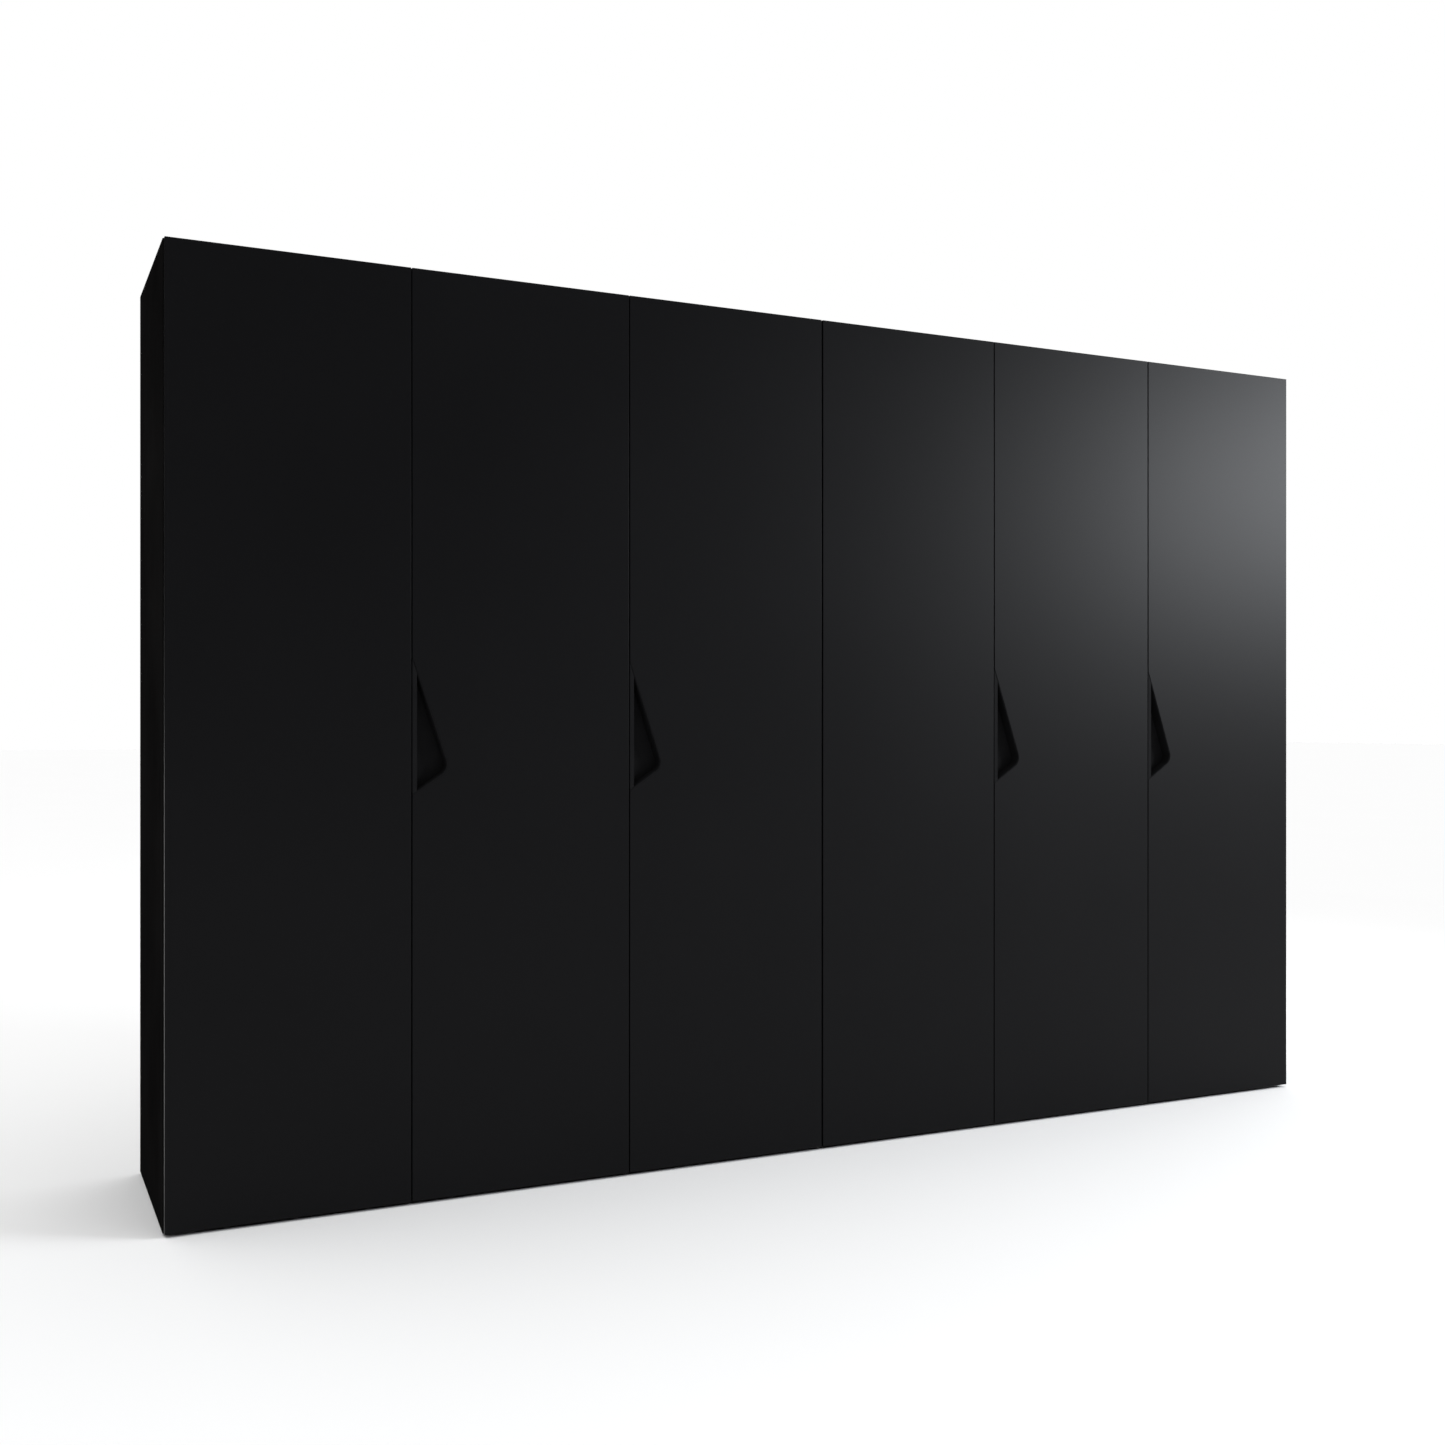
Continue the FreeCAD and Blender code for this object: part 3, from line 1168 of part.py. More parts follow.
def bumper_points(unit):
    """Pads behind the free corners of the three doors, as x and height."""
    half = value("Sizes.bumper_radius * 2")
    low = value("%s - Sizes.board / 2" % FLOOR_TOP)
    high = value("%s + Sizes.board / 2" % CEILING)
    first_gap = value(door_left(3 * unit + 1)) - value("Sizes.door_gap / 2")
    second_gap = value(door_left(3 * unit + 2)) + value("Sizes.board / 4")
    return [(x, z) for x in (first_gap - 2 * half, first_gap + 2 * half, second_gap) for z in (low, high)]


def build_small_parts():
    front = value(CARCASS)
    bumpers, screws, glides, brackets = [], [], [], []
    bracket, glide = bracket_form(), glide_form()
    link = link_form()
    doc.recompute()
    for unit in UNITS:
        for x, z in bumper_points(unit):
            radius, thick = value("Sizes.bumper_radius"), value("Sizes.bumper_thick")
            bumpers.append(rod(radius, thick, (x, front, z), (0, -1, 0)))
        for x, y in glide_points(unit):
            glides.append(moved(glide, x, y, 0))
        for x, z in wall_points(unit):
            brackets.append(moved(bracket, x, value(INNER_REAR), value(CEILING)))
            screws.append(aimed(screw, bracket_screw_point(x), (0, 0, 1)))
        for x, y, z, way in holder_points(unit):
            screws += [aimed(screw, point, (-way, 0, 0)) for point in holder_screw_points(x, y, z, way)]
    for door, edge, way, face in HANGING:
        screws += [aimed(screw, point, (-way, 0, 0)) for point in plate_screw_points(face, way)]
    shape_part("door_bumpers", bumpers)
    shape_part("carcass_screws", screws)
    shape_part("glides", glides)
    shape_part("wall_brackets", brackets)
    shape_part("unit_connectors", [moved(link, 0, y, z) for y, z in link_points()])


build_rails()
build_joinery()
build_supports()
build_small_parts()


# ---------------------------------------------------------------- check and write

def check_document():
    for item in doc.Objects:
        if "Invalid" in item.State or "Error" in item.State:
            raise RuntimeError("%s failed: %s" % (item.Name, item.State))
    for item in PARTS:
        if item.Shape.isNull() or not item.Shape.isValid():
            raise RuntimeError("%s has no valid shape" % item.Label)


doc.recompute()
check_document()
os.makedirs("parts", exist_ok=True)
for item in PARTS:
    item.Shape.exportStep(os.path.join("parts", item.Label + ".step"))
print("wrote %d sub-parts" % len(PARTS))
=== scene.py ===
"""A six-door wardrobe in black lacquer, dressed for a studio picture.

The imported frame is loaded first. The finishes come next, then the moulded and
turned pieces that stand for plain frame nodes, and last the floor, the lights
and the camera.
"""
import json
import math

import bmesh
import bpy
from mathutils import Matrix, Vector

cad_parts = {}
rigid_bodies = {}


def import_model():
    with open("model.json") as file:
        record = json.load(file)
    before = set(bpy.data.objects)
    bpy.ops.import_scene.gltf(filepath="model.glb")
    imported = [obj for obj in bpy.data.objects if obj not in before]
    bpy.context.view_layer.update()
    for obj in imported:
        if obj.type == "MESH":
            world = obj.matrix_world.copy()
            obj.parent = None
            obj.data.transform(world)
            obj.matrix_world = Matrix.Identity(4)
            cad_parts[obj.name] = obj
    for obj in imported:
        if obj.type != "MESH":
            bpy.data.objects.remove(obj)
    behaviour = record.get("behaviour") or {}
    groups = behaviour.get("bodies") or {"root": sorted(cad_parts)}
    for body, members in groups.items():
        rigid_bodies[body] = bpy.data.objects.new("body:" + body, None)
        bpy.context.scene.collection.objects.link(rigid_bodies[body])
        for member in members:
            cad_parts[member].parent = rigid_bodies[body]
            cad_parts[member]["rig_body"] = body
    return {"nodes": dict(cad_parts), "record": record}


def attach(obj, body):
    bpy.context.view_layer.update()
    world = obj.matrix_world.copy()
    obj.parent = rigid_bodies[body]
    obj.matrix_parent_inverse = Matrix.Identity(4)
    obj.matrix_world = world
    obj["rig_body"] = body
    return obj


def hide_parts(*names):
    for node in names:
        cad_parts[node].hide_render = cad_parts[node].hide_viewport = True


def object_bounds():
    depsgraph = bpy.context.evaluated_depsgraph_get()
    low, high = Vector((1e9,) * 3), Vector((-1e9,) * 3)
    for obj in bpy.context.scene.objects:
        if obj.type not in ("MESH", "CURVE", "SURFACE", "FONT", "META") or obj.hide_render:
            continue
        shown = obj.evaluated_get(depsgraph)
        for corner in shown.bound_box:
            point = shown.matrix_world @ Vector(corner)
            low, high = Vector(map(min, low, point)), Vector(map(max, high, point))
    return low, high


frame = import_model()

FRAME_LOW, FRAME_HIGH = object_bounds()
bpy.ops.object.select_all(action="DESELECT")

RECORD = frame["record"]
NODES = frame["nodes"]
SLOT_COLOURS = {row["slot"]: row["base_color"] for row in RECORD["materials"]}


# ---------------------------------------------------------------- finishes


def new_finish(name):
    """An empty node tree with a shader on its output, and the object's own coordinates."""
    finish = bpy.data.materials.new(name)
    finish.use_nodes = True
    tree = finish.node_tree
    tree.nodes.clear()
    output = tree.nodes.new("ShaderNodeOutputMaterial")
    shader = tree.nodes.new("ShaderNodeBsdfPrincipled")
    tree.links.new(shader.outputs["BSDF"], output.inputs["Surface"])
    coordinates = tree.nodes.new("ShaderNodeTexCoord")
    return finish, tree, shader, coordinates.outputs["Object"]


def stretched(tree, source, scale):
    """The coordinates scaled along each axis, for grain and brushing."""
    mapping = tree.nodes.new("ShaderNodeMapping")
    mapping.inputs["Scale"].default_value = scale
    tree.links.new(source, mapping.inputs["Vector"])
    return mapping.outputs["Vector"]


def mottle(tree, source, scale, detail=3.0, roughness=0.5, distortion=0.0):
    """A cloudy value between 0 and 1."""
    noise = tree.nodes.new("ShaderNodeTexNoise")
    noise.inputs["Scale"].default_value = scale
    noise.inputs["Detail"].default_value = detail
    noise.inputs["Roughness"].default_value = roughness
    noise.inputs["Distortion"].default_value = distortion
    tree.links.new(source, noise.inputs["Vector"])
    return noise.outputs["Fac"]


def specks(tree, source, scale):
    """The distance to the nearest of many scattered points."""
    cells = tree.nodes.new("ShaderNodeTexVoronoi")
    cells.inputs["Scale"].default_value = scale
    tree.links.new(source, cells.inputs["Vector"])
    return cells.outputs["Distance"]


def ranged(tree, value, low, high, start=0.3, end=0.7):
    """The value spread from low to high."""
    spread = tree.nodes.new("ShaderNodeMapRange")
    spread.inputs["From Min"].default_value = start
    spread.inputs["From Max"].default_value = end
    spread.inputs["To Min"].default_value = low
    spread.inputs["To Max"].default_value = high
    tree.links.new(value, spread.inputs["Value"])
    return spread.outputs["Result"]


def mixed(tree, share, first, second):
    """A colour between two, by a value."""
    mix = tree.nodes.new("ShaderNodeMix")
    mix.data_type = "RGBA"
    tree.links.new(share, mix.inputs["Factor"])
    mix.inputs[6].default_value = (*first, 1.0)
    mix.inputs[7].default_value = (*second, 1.0)
    return mix.outputs[2]


def multiplied(tree, first, second):
    """The product of two values."""
    product = tree.nodes.new("ShaderNodeMath")
    product.operation = "MULTIPLY"
    tree.links.new(first, product.inputs[0])
    tree.links.new(second, product.inputs[1])
    return product.outputs["Value"]


def added(tree, first, second):
    """The sum of two values."""
    total = tree.nodes.new("ShaderNodeMath")
    total.operation = "ADD"
    tree.links.new(first, total.inputs[0])
    tree.links.new(second, total.inputs[1])
    return total.outputs["Value"]


def relief(tree, shader, height, strength, depth, under=None):
    """Fine relief on the shader's normal, over an earlier relief if there is one."""
    bump = tree.nodes.new("ShaderNodeBump")
    bump.inputs["Strength"].default_value = strength
    bump.inputs["Distance"].default_value = depth
    tree.links.new(height, bump.inputs["Height"])
    if under is not None:
        tree.links.new(under, bump.inputs["Normal"])
    tree.links.new(bump.outputs["Normal"], shader.inputs["Normal"])
    return bump.outputs["Normal"]


def dressed_shader(tree, shader, colour, roughness):
    """Links a finish's colour and roughness to its shader."""
    tree.links.new(colour, shader.inputs["Base Color"])
    tree.links.new(roughness, shader.inputs["Roughness"])


def tinted(colour, factor):
    """The colour made lighter or darker."""
    return tuple(min(1.0, channel * factor) for channel in colour)


def door_lacquer():
    """Sprayed black satin lacquer: a faint orange peel and a soft unevenness in its gloss."""
    finish, tree, shader, place = new_finish("door_lacquer")
    base = SLOT_COLOURS["door_lacquer"]
    clouds = mottle(tree, place, scale=2.6, detail=4.0, roughness=0.55)
    colour = mixed(tree, clouds, tinted(base, 0.23), tinted(base, 0.30))
    gloss = mottle(tree, place, scale=1.3, detail=2.0, roughness=0.4)
    dressed_shader(tree, shader, colour, ranged(tree, gloss, low=0.365, high=0.385))
    peel = mottle(tree, place, scale=420.0, detail=2.0)
    fine_peel = mottle(tree, place, scale=2400.0, detail=1.0)
    peeled = relief(tree, shader, peel, strength=0.10, depth=0.00025)
    relief(tree, shader, fine_peel, strength=0.06, depth=0.00006, under=peeled)
    shader.inputs["Specular IOR Level"].default_value = 0.075
    return finish


def carcass_board():
    """Black melamine on chipboard with a fine pressed grain along the board's height."""
    finish, tree, shader, place = new_finish("carcass_board")
    base = SLOT_COLOURS["carcass_board"]
    along = stretched(tree, place, scale=(210.0, 210.0, 5.0))
    grain = mottle(tree, along, scale=1.0, detail=5.0, roughness=0.6, distortion=0.6)
    clouds = mottle(tree, place, scale=3.0, detail=4.0)
    shade = multiplied(tree, grain, clouds)
    share = ranged(tree, shade, low=0.0, high=1.0, start=0.12, end=0.4)
    colour = mixed(tree, share, tinted(base, 0.22), tinted(base, 0.44))
    dressed_shader(tree, shader, colour, ranged(tree, grain, low=0.74, high=0.86))
    relief(tree, shader, grain, strength=0.22, depth=0.0003)
    shader.inputs["Specular IOR Level"].default_value = 0.0
    return finish


def inner_board():
    """Graphite melamine with a crossed linen pressing."""
    finish, tree, shader, place = new_finish("inner_board")
    base = SLOT_COLOURS["inner_board"]
    upright = mottle(tree, stretched(tree, place, scale=(1100.0, 1100.0, 60.0)), scale=1.0, detail=2.0)
    level = mottle(tree, stretched(tree, place, scale=(70.0, 70.0, 1100.0)), scale=1.0, detail=2.0)
    crossing = mottle(tree, stretched(tree, place, scale=(90.0, 1100.0, 1100.0)), scale=1.0, detail=2.0)
    weave = added(tree, added(tree, upright, level), crossing)
    clouds = mottle(tree, place, scale=2.2, detail=4.0)
    shade = added(tree, weave, clouds)
    share = ranged(tree, shade, low=0.0, high=1.0, start=1.5, end=2.5)
    colour = mixed(tree, share, tinted(base, 0.72), tinted(base, 1.12))
    dressed_shader(tree, shader, colour, ranged(tree, weave, low=0.5, high=0.66, start=1.1, end=1.9))
    relief(tree, shader, weave, strength=0.3, depth=0.00012)
    shader.inputs["Specular IOR Level"].default_value = 0.3
    return finish


def back_board():
    """Thin graphite laminated fibreboard with an even, papery tooth."""
    finish, tree, shader, place = new_finish("back_board")
    base = SLOT_COLOURS["back_board"]
    tooth = mottle(tree, place, scale=900.0, detail=3.0)
    clouds = mottle(tree, place, scale=1.8, detail=4.0)
    colour = mixed(tree, clouds, tinted(base, 0.8), tinted(base, 1.1))
    dressed_shader(tree, shader, colour, ranged(tree, tooth, low=0.6, high=0.76))
    relief(tree, shader, tooth, strength=0.25, depth=0.00015)
    shader.inputs["Specular IOR Level"].default_value = 0.2
    return finish


def handle_plastic():
    """Matt black moulded shell with an eroded texture."""
    finish, tree, shader, place = new_finish("handle_plastic")
    base = SLOT_COLOURS["handle_plastic"]
    pits = specks(tree, place, scale=1500.0)
    clouds = mottle(tree, place, scale=30.0, detail=3.0)
    colour = mixed(tree, clouds, tinted(base, 0.52), tinted(base, 0.72))
    dressed_shader(tree, shader, colour, ranged(tree, pits, low=0.5, high=0.64, start=0.0, end=0.7))
    relief(tree, shader, pits, strength=0.2, depth=0.00008)
    shader.inputs["Specular IOR Level"].default_value = 0.02
    return finish


def plated(slot, roughness, streaks, shade):
    """Plated steel or zinc: a metal with fine rolling marks and a little dulling."""
    finish, tree, shader, place = new_finish(slot)
    base = SLOT_COLOURS[slot]
    marks = mottle(tree, stretched(tree, place, streaks), scale=1.0, detail=4.0, roughness=0.6)
    dulling = mottle(tree, place, scale=55.0, detail=4.0)
    colour = mixed(tree, dulling, tinted(base, shade), base)
    dressed_shader(tree, shader, colour, ranged(tree, marks, low=roughness * 0.8, high=roughness * 1.3))
    relief(tree, shader, marks, strength=0.12, depth=0.0001)
    shader.inputs["Metallic"].default_value = 1.0
    return finish


def dowel_beech():
    """Raw beech with short flecks."""
    finish, tree, shader, place = new_finish("dowel_beech")
    base = SLOT_COLOURS["dowel_beech"]
    along = stretched(tree, place, scale=(90.0, 900.0, 900.0))
    flecks = mottle(tree, along, scale=1.0, detail=4.0, roughness=0.65)
    colour = mixed(tree, ranged(tree, flecks, low=0.0, high=1.0), tinted(base, 0.72), base)
    dressed_shader(tree, shader, colour, ranged(tree, flecks, low=0.6, high=0.8))
    relief(tree, shader, flecks, strength=0.3, depth=0.0002)
    return finish


def bumper_pad():
    """Soft translucent dot."""
    finish, tree, shader, place = new_finish("bumper_pad")
    haze = mottle(tree, place, scale=300.0, detail=3.0)
    base = SLOT_COLOURS["bumper_pad"]
    colour = mixed(tree, haze, tinted(base, 0.3), tinted(base, 0.55))
    dressed_shader(tree, shader, colour, ranged(tree, haze, low=0.32, high=0.45))
    relief(tree, shader, haze, strength=0.05, depth=0.0001)
    shader.inputs["Subsurface Weight"].default_value = 0.2
    shader.inputs["Subsurface Radius"].default_value = (0.002, 0.002, 0.002)
    return finish


def glide_plastic():
    """Black polyethylene, a little scuffed."""
    finish, tree, shader, place = new_finish("glide_plastic")
    base = SLOT_COLOURS["glide_plastic"]
    along = stretched(tree, place, scale=(40.0, 300.0, 300.0))
    scuffs = mottle(tree, along, scale=1.0, detail=5.0, roughness=0.7, distortion=1.0)
    colour = mixed(tree, scuffs, tinted(base, 0.5), tinted(base, 1.4))
    dressed_shader(tree, shader, colour, ranged(tree, scuffs, low=0.4, high=0.62))
    relief(tree, shader, scuffs, strength=0.1, depth=0.0002)
    return finish


FINISHES = {
    "door_lacquer": door_lacquer(),
    "carcass_board": carcass_board(),
    "inner_board": inner_board(),
    "back_board": back_board(),
    "handle_plastic": handle_plastic(),
    "hinge_steel": plated("hinge_steel", roughness=0.26, streaks=(300.0, 40.0, 300.0), shade=0.8),
    "fitting_zinc": plated("fitting_zinc", roughness=0.42, streaks=(220.0, 220.0, 220.0), shade=0.7),
    "screw_steel": plated("screw_steel", roughness=0.3, streaks=(600.0, 600.0, 600.0), shade=0.75),
    "rail_aluminium": plated("rail_aluminium", roughness=0.3, streaks=(6.0, 900.0, 900.0), shade=0.85),
    "dowel_beech": dowel_beech(),
    "bumper_pad": bumper_pad(),
    "glide_plastic": glide_plastic(),
}

NODE_FINISHES = {
    "door_": "door_lacquer",
    "handle_shell_": "handle_plastic",
    "handle_screws_": "screw_steel",
    "hinge_cups_": "hinge_steel",
    "cup_screws_": "screw_steel",
    "side_": "carcass_board",
    "partition_": "inner_board",
    "top_": "carcass_board",
    "bottom_": "carcass_board",
    "hat_shelf_": "inner_board",
    "plinth_": "carcass_board",
    "shelves_": "inner_board",
    "back_": "back_board",
    "hanging_rails": "rail_aluminium",
    "rail_holders": "fitting_zinc",
    "cam_locks": "fitting_zinc",
    "cam_studs": "fitting_zinc",
    "dowels": "dowel_beech",
    "shelf_pins": "screw_steel",
    "hinge_arms": "hinge_steel",
    "hinge_plates": "hinge_steel",
    "hinge_pins": "hinge_steel",
    "carcass_screws": "screw_steel",
    "wall_brackets": "fitting_zinc",
    "unit_connectors": "fitting_zinc",
    "door_bumpers": "bumper_pad",
    "glides": "glide_plastic",
}


def slot_of(node):
    """The material slot whose node name, or beginning of it, is the longest that fits."""
    fitting = [start for start in NODE_FINISHES if node.startswith(start)]
    return NODE_FINISHES[max(fitting, key=len)]


for node_name, node in NODES.items():
    for material_slot in node.material_slots:
        material_slot.link = "OBJECT"
        material_slot.material = FINISHES[slot_of(node_name)]


# ---------------------------------------------------------------- softened parts

# Lengths are in metres.
MERGE_DISTANCE = 0.000005
FLAT_ANGLE = math.radians(0.4)
SHARP_ANGLE = math.radians(42.0)
SMOOTH_ANGLE = math.radians(36.0)
MOSTLY_ALONG = 0.9
LEAST_LINED_AREA = 0.00002
SHORTEST_BOARD_EDGE = 0.03
BOARD_BEGINNINGS = ("side_", "partition_", "top_", "bottom_", "hat_shelf_", "plinth_", "shelves_")
INWARD = {
    "side_left_": (1.0, 0.0, 0.0),
    "side_right_": (-1.0, 0.0, 0.0),
    "top_": (0.0, 0.0, -1.0),
    "bottom_": (0.0, 0.0, 1.0),
}
# Rounding radius and number of steps of the small parts.
SMALL_PART_ROUNDINGS = {
    "door_bumpers": (0.0009, 3),
    "glides": (0.0008, 3),
    "hinge_plates": (0.0003, 2),
    "wall_brackets": (0.0004, 2),
    "rail_holders": (0.0004, 2),
}

def only(piece):
    """Makes one object the only selected and the active one."""
    bpy.ops.object.select_all(action="DESELECT")
    piece.select_set(True)
    bpy.context.view_layer.objects.active = piece


def dressed(piece, name, body, slot):
    """Names a finished piece, gives it its finish and lets it ride on its body."""
    piece.name = name
    piece.data.name = name
    piece.data.materials.clear()
    piece.data.materials.append(FINISHES[slot])
    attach(piece, body)
    return piece


def copied_node(node_name):
    """A copy of a frame node's mesh as one closed skin with flat faces in one piece."""
    piece = bpy.data.objects.new(node_name + "_copy", NODES[node_name].data.copy())
    bpy.context.scene.collection.objects.link(piece)
    only(piece)
    bpy.ops.object.mode_set(mode="EDIT")
    bpy.ops.mesh.select_all(action="SELECT")
    bpy.ops.mesh.remove_doubles(threshold=MERGE_DISTANCE)
    bpy.ops.mesh.dissolve_limited(angle_limit=FLAT_ANGLE)
    bpy.ops.object.mode_set(mode="OBJECT")
    return piece


def rounded_edges(piece, radius, steps, shortest):
    """Rounds the sharp edges that are at least this long, and smooths the skin between them."""
    only(piece)
    bpy.ops.object.mode_set(mode="EDIT")
    bpy.ops.mesh.select_mode(type="EDGE")
    bpy.ops.mesh.select_all(action="DESELECT")
    skin = bmesh.from_edit_mesh(piece.data)
    for edge in skin.edges:
        sharp = len(edge.link_faces) == 2 and edge.calc_face_angle(0.0) > SHARP_ANGLE
        edge.select_set(sharp and edge.calc_length() >= shortest)
    bmesh.update_edit_mesh(piece.data)
    bpy.ops.mesh.bevel(offset=radius, segments=steps, affect="EDGES", clamp_overlap=True)
    bpy.ops.object.mode_set(mode="OBJECT")
    evened(piece)


def evened(piece):
    """Smooth shading that keeps flat faces flat."""
    only(piece)
    bpy.ops.object.shade_smooth_by_angle(angle=SMOOTH_ANGLE)
    weighting = piece.modifiers.new("weighting", "WEIGHTED_NORMAL")
    weighting.keep_sharp = True
    bpy.ops.object.modifier_apply(modifier=weighting.name)


def softened(node_name, radius, steps, shortest=0.0):
    """Stands a frame node's softened copy in its place."""
    piece = copied_node(node_name)
    rounded_edges(piece, radius, steps, shortest)
    body = NODES[node_name]["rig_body"]
    dressed(piece, node_name + "_finished", body, slot_of(node_name))
    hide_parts(node_name)
    return piece


def lined(piece, inward):
    """Gives an outer board the lighter inner finish on the faces that look into the wardrobe."""
    piece.data.materials.append(FINISHES["inner_board"])
    for face in piece.data.polygons:
        if face.normal.dot(Vector(inward)) > MOSTLY_ALONG and face.area > LEAST_LINED_AREA:
            face.material_index = 1


for node_name in sorted(NODES):
    if node_name.startswith("handle_shell_"):
        softened(node_name, radius=0.0005, steps=3)
    elif node_name.startswith(BOARD_BEGINNINGS):
        board = softened(node_name, radius=0.0006, steps=2, shortest=SHORTEST_BOARD_EDGE)
        for beginning, inward in INWARD.items():
            if node_name.startswith(beginning):
                lined(board, inward)
    elif node_name.startswith("door_") and node_name != "door_bumpers":
        door = copied_node(node_name)
        evened(door)
        dressed(door, node_name + "_finished", NODES[node_name]["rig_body"], "door_lacquer")
        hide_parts(node_name)
for node_name, (radius, steps) in SMALL_PART_ROUNDINGS.items():
    softened(node_name, radius, steps)


# ---------------------------------------------------------------- small parts on the hinges and cams

# Lengths are in metres.
QUARTER_TURN = math.radians(90.0)
SQUARELY_ALONG = 0.99
ARM_BODY = 0.008
ADJUSTER_SETBACKS = (0.010, 0.031)
HEAD_RADIUS = 0.0031
HEAD_HEIGHT = 0.0014
RECESS_LONG = 0.0040
RECESS_WIDE = 0.0008
RECESS_DEEP = 0.0012
CAP_RADIUS = 0.0089
CAP_HEIGHT = 0.0009

def solid_boxes(node_name):
    """Lowest and highest corner of each separate solid of a frame node."""
    skin = bmesh.new()
    skin.from_mesh(NODES[node_name].data)
    bmesh.ops.remove_doubles(skin, verts=skin.verts, dist=MERGE_DISTANCE)
    left = set(skin.verts)
    boxes = []
    while left:
        island = [left.pop()]
        for vertex in island:
            for edge in vertex.link_edges:
                other = edge.other_vert(vertex)
                if other in left:
                    left.remove(other)
                    island.append(other)
        low = Vector([min(vertex.co[axis] for vertex in island) for axis in range(3)])
        high = Vector([max(vertex.co[axis] for vertex in island) for axis in range(3)])
        boxes.append((low, high))
    skin.free()
    return sorted(boxes, key=lambda corners: tuple(corners[0]))


def pick_faces(piece, normal):
    """Selects, in edit mode, only the faces that look this way."""
    skin = bmesh.from_edit_mesh(piece.data)
    bpy.ops.mesh.select_mode(type="FACE")
    bpy.ops.mesh.select_all(action="DESELECT")
    for face in skin.faces:
        face.select_set(face.normal.dot(Vector(normal)) > SQUARELY_ALONG)
    bmesh.update_edit_mesh(piece.data)


def pick_rims(piece, normal):
    """Selects, in edit mode, only the sharp edges round the faces that look this way."""
    skin = bmesh.from_edit_mesh(piece.data)
    bpy.ops.mesh.select_mode(type="EDGE")
    bpy.ops.mesh.select_all(action="DESELECT")
    for edge in skin.edges:
        looks = any(face.normal.dot(Vector(normal)) > SQUARELY_ALONG for face in edge.link_faces)
        edge.select_set(looks and edge.calc_face_angle(0.0) > SHARP_ANGLE)
    bmesh.update_edit_mesh(piece.data)


def adjuster_screw():
    """Adjusting screw of a hinge arm, its head towards +X, with a rounded rim and a cross recess."""
    bpy.ops.object.select_all(action="DESELECT")
    bpy.ops.mesh.primitive_cylinder_add(
        vertices=32,
        radius=HEAD_RADIUS,
        depth=HEAD_HEIGHT,
        rotation=(0.0, QUARTER_TURN, 0.0),
    )
    piece = bpy.context.object
    bpy.ops.object.transform_apply(location=True, rotation=True, scale=True)
    bpy.ops.object.mode_set(mode="EDIT")
    pick_rims(piece, (1.0, 0.0, 0.0))
    bpy.ops.mesh.bevel(offset=0.00035, segments=3, affect="EDGES")
    pick_faces(piece, (1.0, 0.0, 0.0))
    bpy.ops.mesh.inset(thickness=0.0004, depth=-0.0001)
    bpy.ops.object.mode_set(mode="OBJECT")
    for wide, tall in ((RECESS_LONG, RECESS_WIDE), (RECESS_WIDE, RECESS_LONG)):
        bpy.ops.object.select_all(action="DESELECT")
        bpy.ops.mesh.primitive_cube_add(
            size=1.0,
            location=(HEAD_HEIGHT / 2, 0.0, 0.0),
            scale=(RECESS_DEEP, wide, tall),
        )
        cutter = bpy.context.object
        only(piece)
        recess = piece.modifiers.new("recess", "BOOLEAN")
        recess.operation = "DIFFERENCE"
        recess.solver = "EXACT"
        recess.object = cutter
        bpy.ops.object.modifier_apply(modifier=recess.name)
        bpy.data.objects.remove(cutter)
    return piece


def cover_cap():
    """Pressed plastic cap over a cam lock, its domed face towards -Z and its rim at z = 0."""
    bpy.ops.object.select_all(action="DESELECT")
    bpy.ops.mesh.primitive_cylinder_add(
        vertices=40,
        radius=CAP_RADIUS,
        depth=CAP_HEIGHT,
        location=(0.0, 0.0, -CAP_HEIGHT / 2),
    )
    piece = bpy.context.object
    bpy.ops.object.transform_apply(location=True, rotation=True, scale=True)
    bpy.ops.object.mode_set(mode="EDIT")
    pick_faces(piece, (0.0, 0.0, -1.0))
    bpy.ops.mesh.inset(thickness=0.0022, depth=0.0003)
    bpy.ops.mesh.inset(thickness=0.0030, depth=0.0001)
    pick_rims(piece, (0.0, 0.0, -1.0))
    bpy.ops.mesh.bevel(offset=0.0003, segments=3, affect="EDGES")
    bpy.ops.object.mode_set(mode="OBJECT")
    return piece


def repeated(master, name, places, body, slot):
    """One piece made of copies of a master, each at its place and mirrored in X where told."""
    whole = bmesh.new()
    for place, mirrored in places:
        copy = master.data.copy()
        copy.transform(Matrix.Diagonal((-1.0 if mirrored else 1.0, 1.0, 1.0, 1.0)))
        if mirrored:
            copy.flip_normals()
        copy.transform(Matrix.Translation(place))
        whole.from_mesh(copy)
        bpy.data.meshes.remove(copy)
    mesh = bpy.data.meshes.new(name)
    whole.to_mesh(mesh)
    whole.free()
    piece = bpy.data.objects.new(name, mesh)
    bpy.context.scene.collection.objects.link(piece)
    bpy.data.objects.remove(master)
    dressed(piece, name, body, slot)
    evened(piece)


def hinge_adjusters():
    """Two adjusting screws on every hinge arm, on the side away from the arm's plate."""
    plates = solid_boxes("hinge_plates")
    places = []
    for low, high in solid_boxes("hinge_arms"):
        middle = (low + high) / 2
        plate = min(plates, key=lambda corners: ((corners[0] + corners[1]) / 2 - middle).length)
        to_left = (plate[0].x + plate[1].x) / 2 > middle.x
        crown = plate[0].x - ARM_BODY if to_left else plate[1].x + ARM_BODY
        for ahead in ADJUSTER_SETBACKS:
            places.append((Vector((crown, high.y - ahead, middle.z)), to_left))
    repeated(adjuster_screw(), "hinge_adjusters", places, "carcass", "screw_steel")


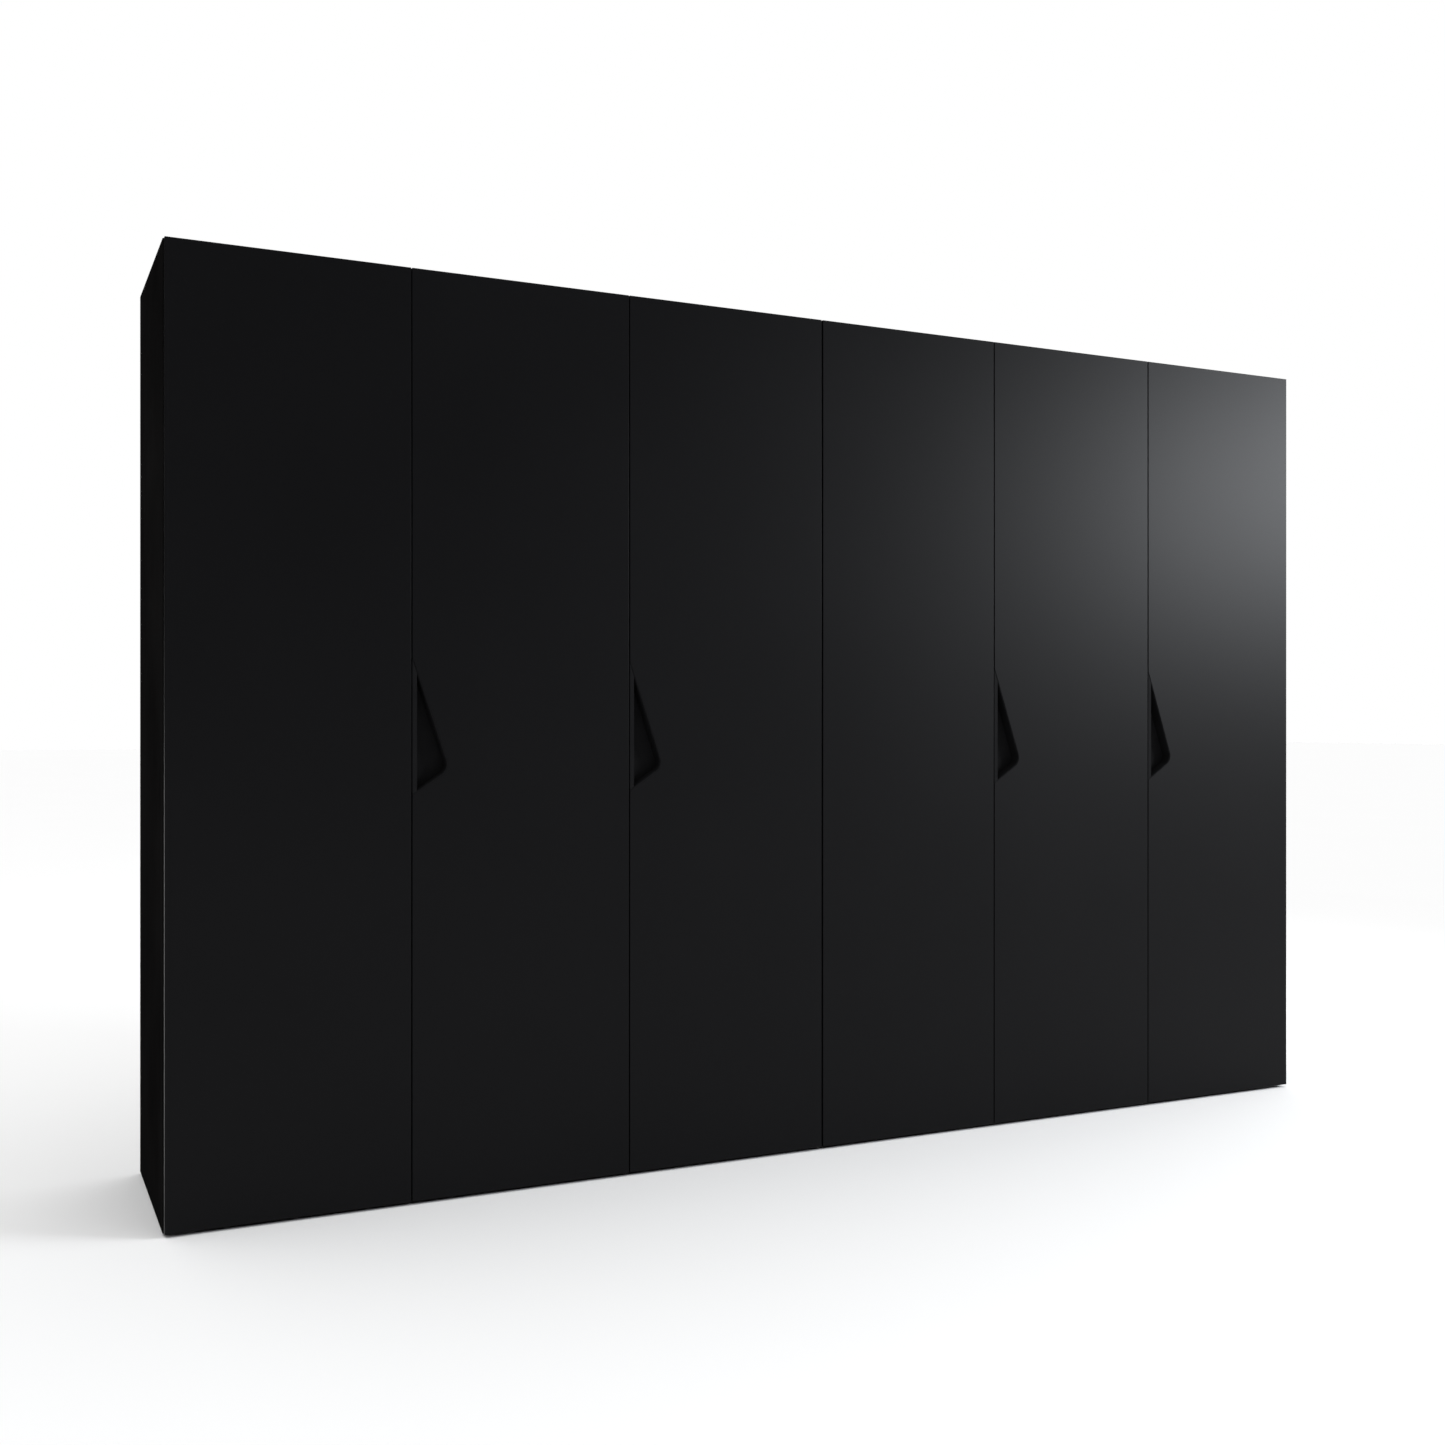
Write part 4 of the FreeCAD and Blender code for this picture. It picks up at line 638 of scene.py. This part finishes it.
def cam_caps():
    """A cap under every cam lock."""
    places = []
    for low, high in solid_boxes("cam_locks"):
        middle = (low + high) / 2
        places.append((Vector((middle.x, middle.y, low.z)), False))
    repeated(cover_cap(), "cam_caps", places, "carcass", "glide_plastic")


hinge_adjusters()
cam_caps()


# ---------------------------------------------------------------- floor, light and camera

FLOOR_WIDTH = 120.0
SKY_COLOUR = (1.0, 1.0, 1.0, 1.0)
# The sky's light grows from low to overhead between these upward components of its direction.
SKY_LIGHT_STARTS = 0.35
SKY_LIGHT_FULL = 0.95
SKY_LIGHT_LOW = 0.015
SKY_LIGHT_OVERHEAD = 2.4
LAMP_PLACE = (5.4, -3.5, 2.5)
LAMP_AIM = (1.4, -0.25, 1.5)
LAMP_COLOUR = (0.93, 0.96, 1.0)
CAMERA_PLACE = (-1.832, -3.523, 1.029)
CAMERA_TURN = math.radians(-25.561)
CAMERA_LENS = 38.74
SENSOR_WIDTH = 36.0

def pale_floor():
    """A plain pale studio floor, far larger than the wardrobe."""
    bpy.ops.object.select_all(action="DESELECT")
    bpy.ops.mesh.primitive_plane_add(size=FLOOR_WIDTH, location=(0.0, 0.0, FRAME_LOW.z))
    floor = bpy.context.object
    floor.name = "studio_floor"
    finish, tree, shader, place = new_finish("studio_floor")
    shade = mottle(tree, place, scale=0.8, detail=2.0)
    tree.links.new(mixed(tree, shade, (0.9, 0.9, 0.9), (0.91, 0.91, 0.91)), shader.inputs["Base Color"])
    shader.inputs["Roughness"].default_value = 0.9
    shader.inputs["Specular IOR Level"].default_value = 0.0
    floor.data.materials.append(finish)


def studio_sky():
    """Pale all round to look at, with its light coming mostly from overhead."""
    world = bpy.data.worlds.new("studio_sky")
    bpy.context.scene.world = world
    world.use_nodes = True
    tree = world.node_tree
    tree.nodes.clear()
    output = tree.nodes.new("ShaderNodeOutputWorld")
    seen = tree.nodes.new("ShaderNodeBackground")
    seen.inputs["Color"].default_value = SKY_COLOUR
    seen.inputs["Strength"].default_value = 1.0
    lighting = tree.nodes.new("ShaderNodeBackground")
    place = tree.nodes.new("ShaderNodeTexCoord")
    axes = tree.nodes.new("ShaderNodeSeparateXYZ")
    tree.links.new(place.outputs["Generated"], axes.inputs["Vector"])
    height = tree.nodes.new("ShaderNodeMapRange")
    height.interpolation_type = "SMOOTHSTEP"
    height.inputs["From Min"].default_value = SKY_LIGHT_STARTS
    height.inputs["From Max"].default_value = SKY_LIGHT_FULL
    height.inputs["To Min"].default_value = SKY_LIGHT_LOW
    height.inputs["To Max"].default_value = SKY_LIGHT_OVERHEAD
    tree.links.new(axes.outputs["Z"], height.inputs["Value"])
    tree.links.new(height.outputs["Result"], lighting.inputs["Strength"])
    light_path = tree.nodes.new("ShaderNodeLightPath")
    choice = tree.nodes.new("ShaderNodeMixShader")
    tree.links.new(light_path.outputs["Is Camera Ray"], choice.inputs["Fac"])
    tree.links.new(lighting.outputs["Background"], choice.inputs[1])
    tree.links.new(seen.outputs["Background"], choice.inputs[2])
    tree.links.new(choice.outputs["Shader"], output.inputs["Surface"])


def softbox(name, place, aim, width, height, power, colour, spread):
    """A soft rectangular light that faces a point."""
    light = bpy.data.lights.new(name, "AREA")
    light.shape = "RECTANGLE"
    light.size = width
    light.size_y = height
    light.energy = power
    light.color = colour
    light.spread = math.radians(spread)
    lamp = bpy.data.objects.new(name, light)
    bpy.context.scene.collection.objects.link(lamp)
    lamp.location = place
    lamp.rotation_euler = (Vector(aim) - Vector(place)).to_track_quat("-Z", "Y").to_euler()


def studio_camera():
    """The camera stands before the first door, level, and looks along the fronts."""
    camera = bpy.data.objects.new("camera", bpy.data.cameras.new("camera"))
    bpy.context.scene.collection.objects.link(camera)
    camera.data.sensor_width = SENSOR_WIDTH
    camera.data.lens = CAMERA_LENS
    camera.data.clip_end = 300.0
    camera.location = CAMERA_PLACE
    camera.rotation_euler = (QUARTER_TURN, 0.0, CAMERA_TURN)
    bpy.context.scene.camera = camera


bpy.context.scene.view_settings.view_transform = "Standard"
pale_floor()
studio_sky()
softbox(
    "window_light",
    LAMP_PLACE,
    LAMP_AIM,
    width=2.5,
    height=1.15,
    power=78.0,
    colour=LAMP_COLOUR,
    spread=80.0,
)
studio_camera()
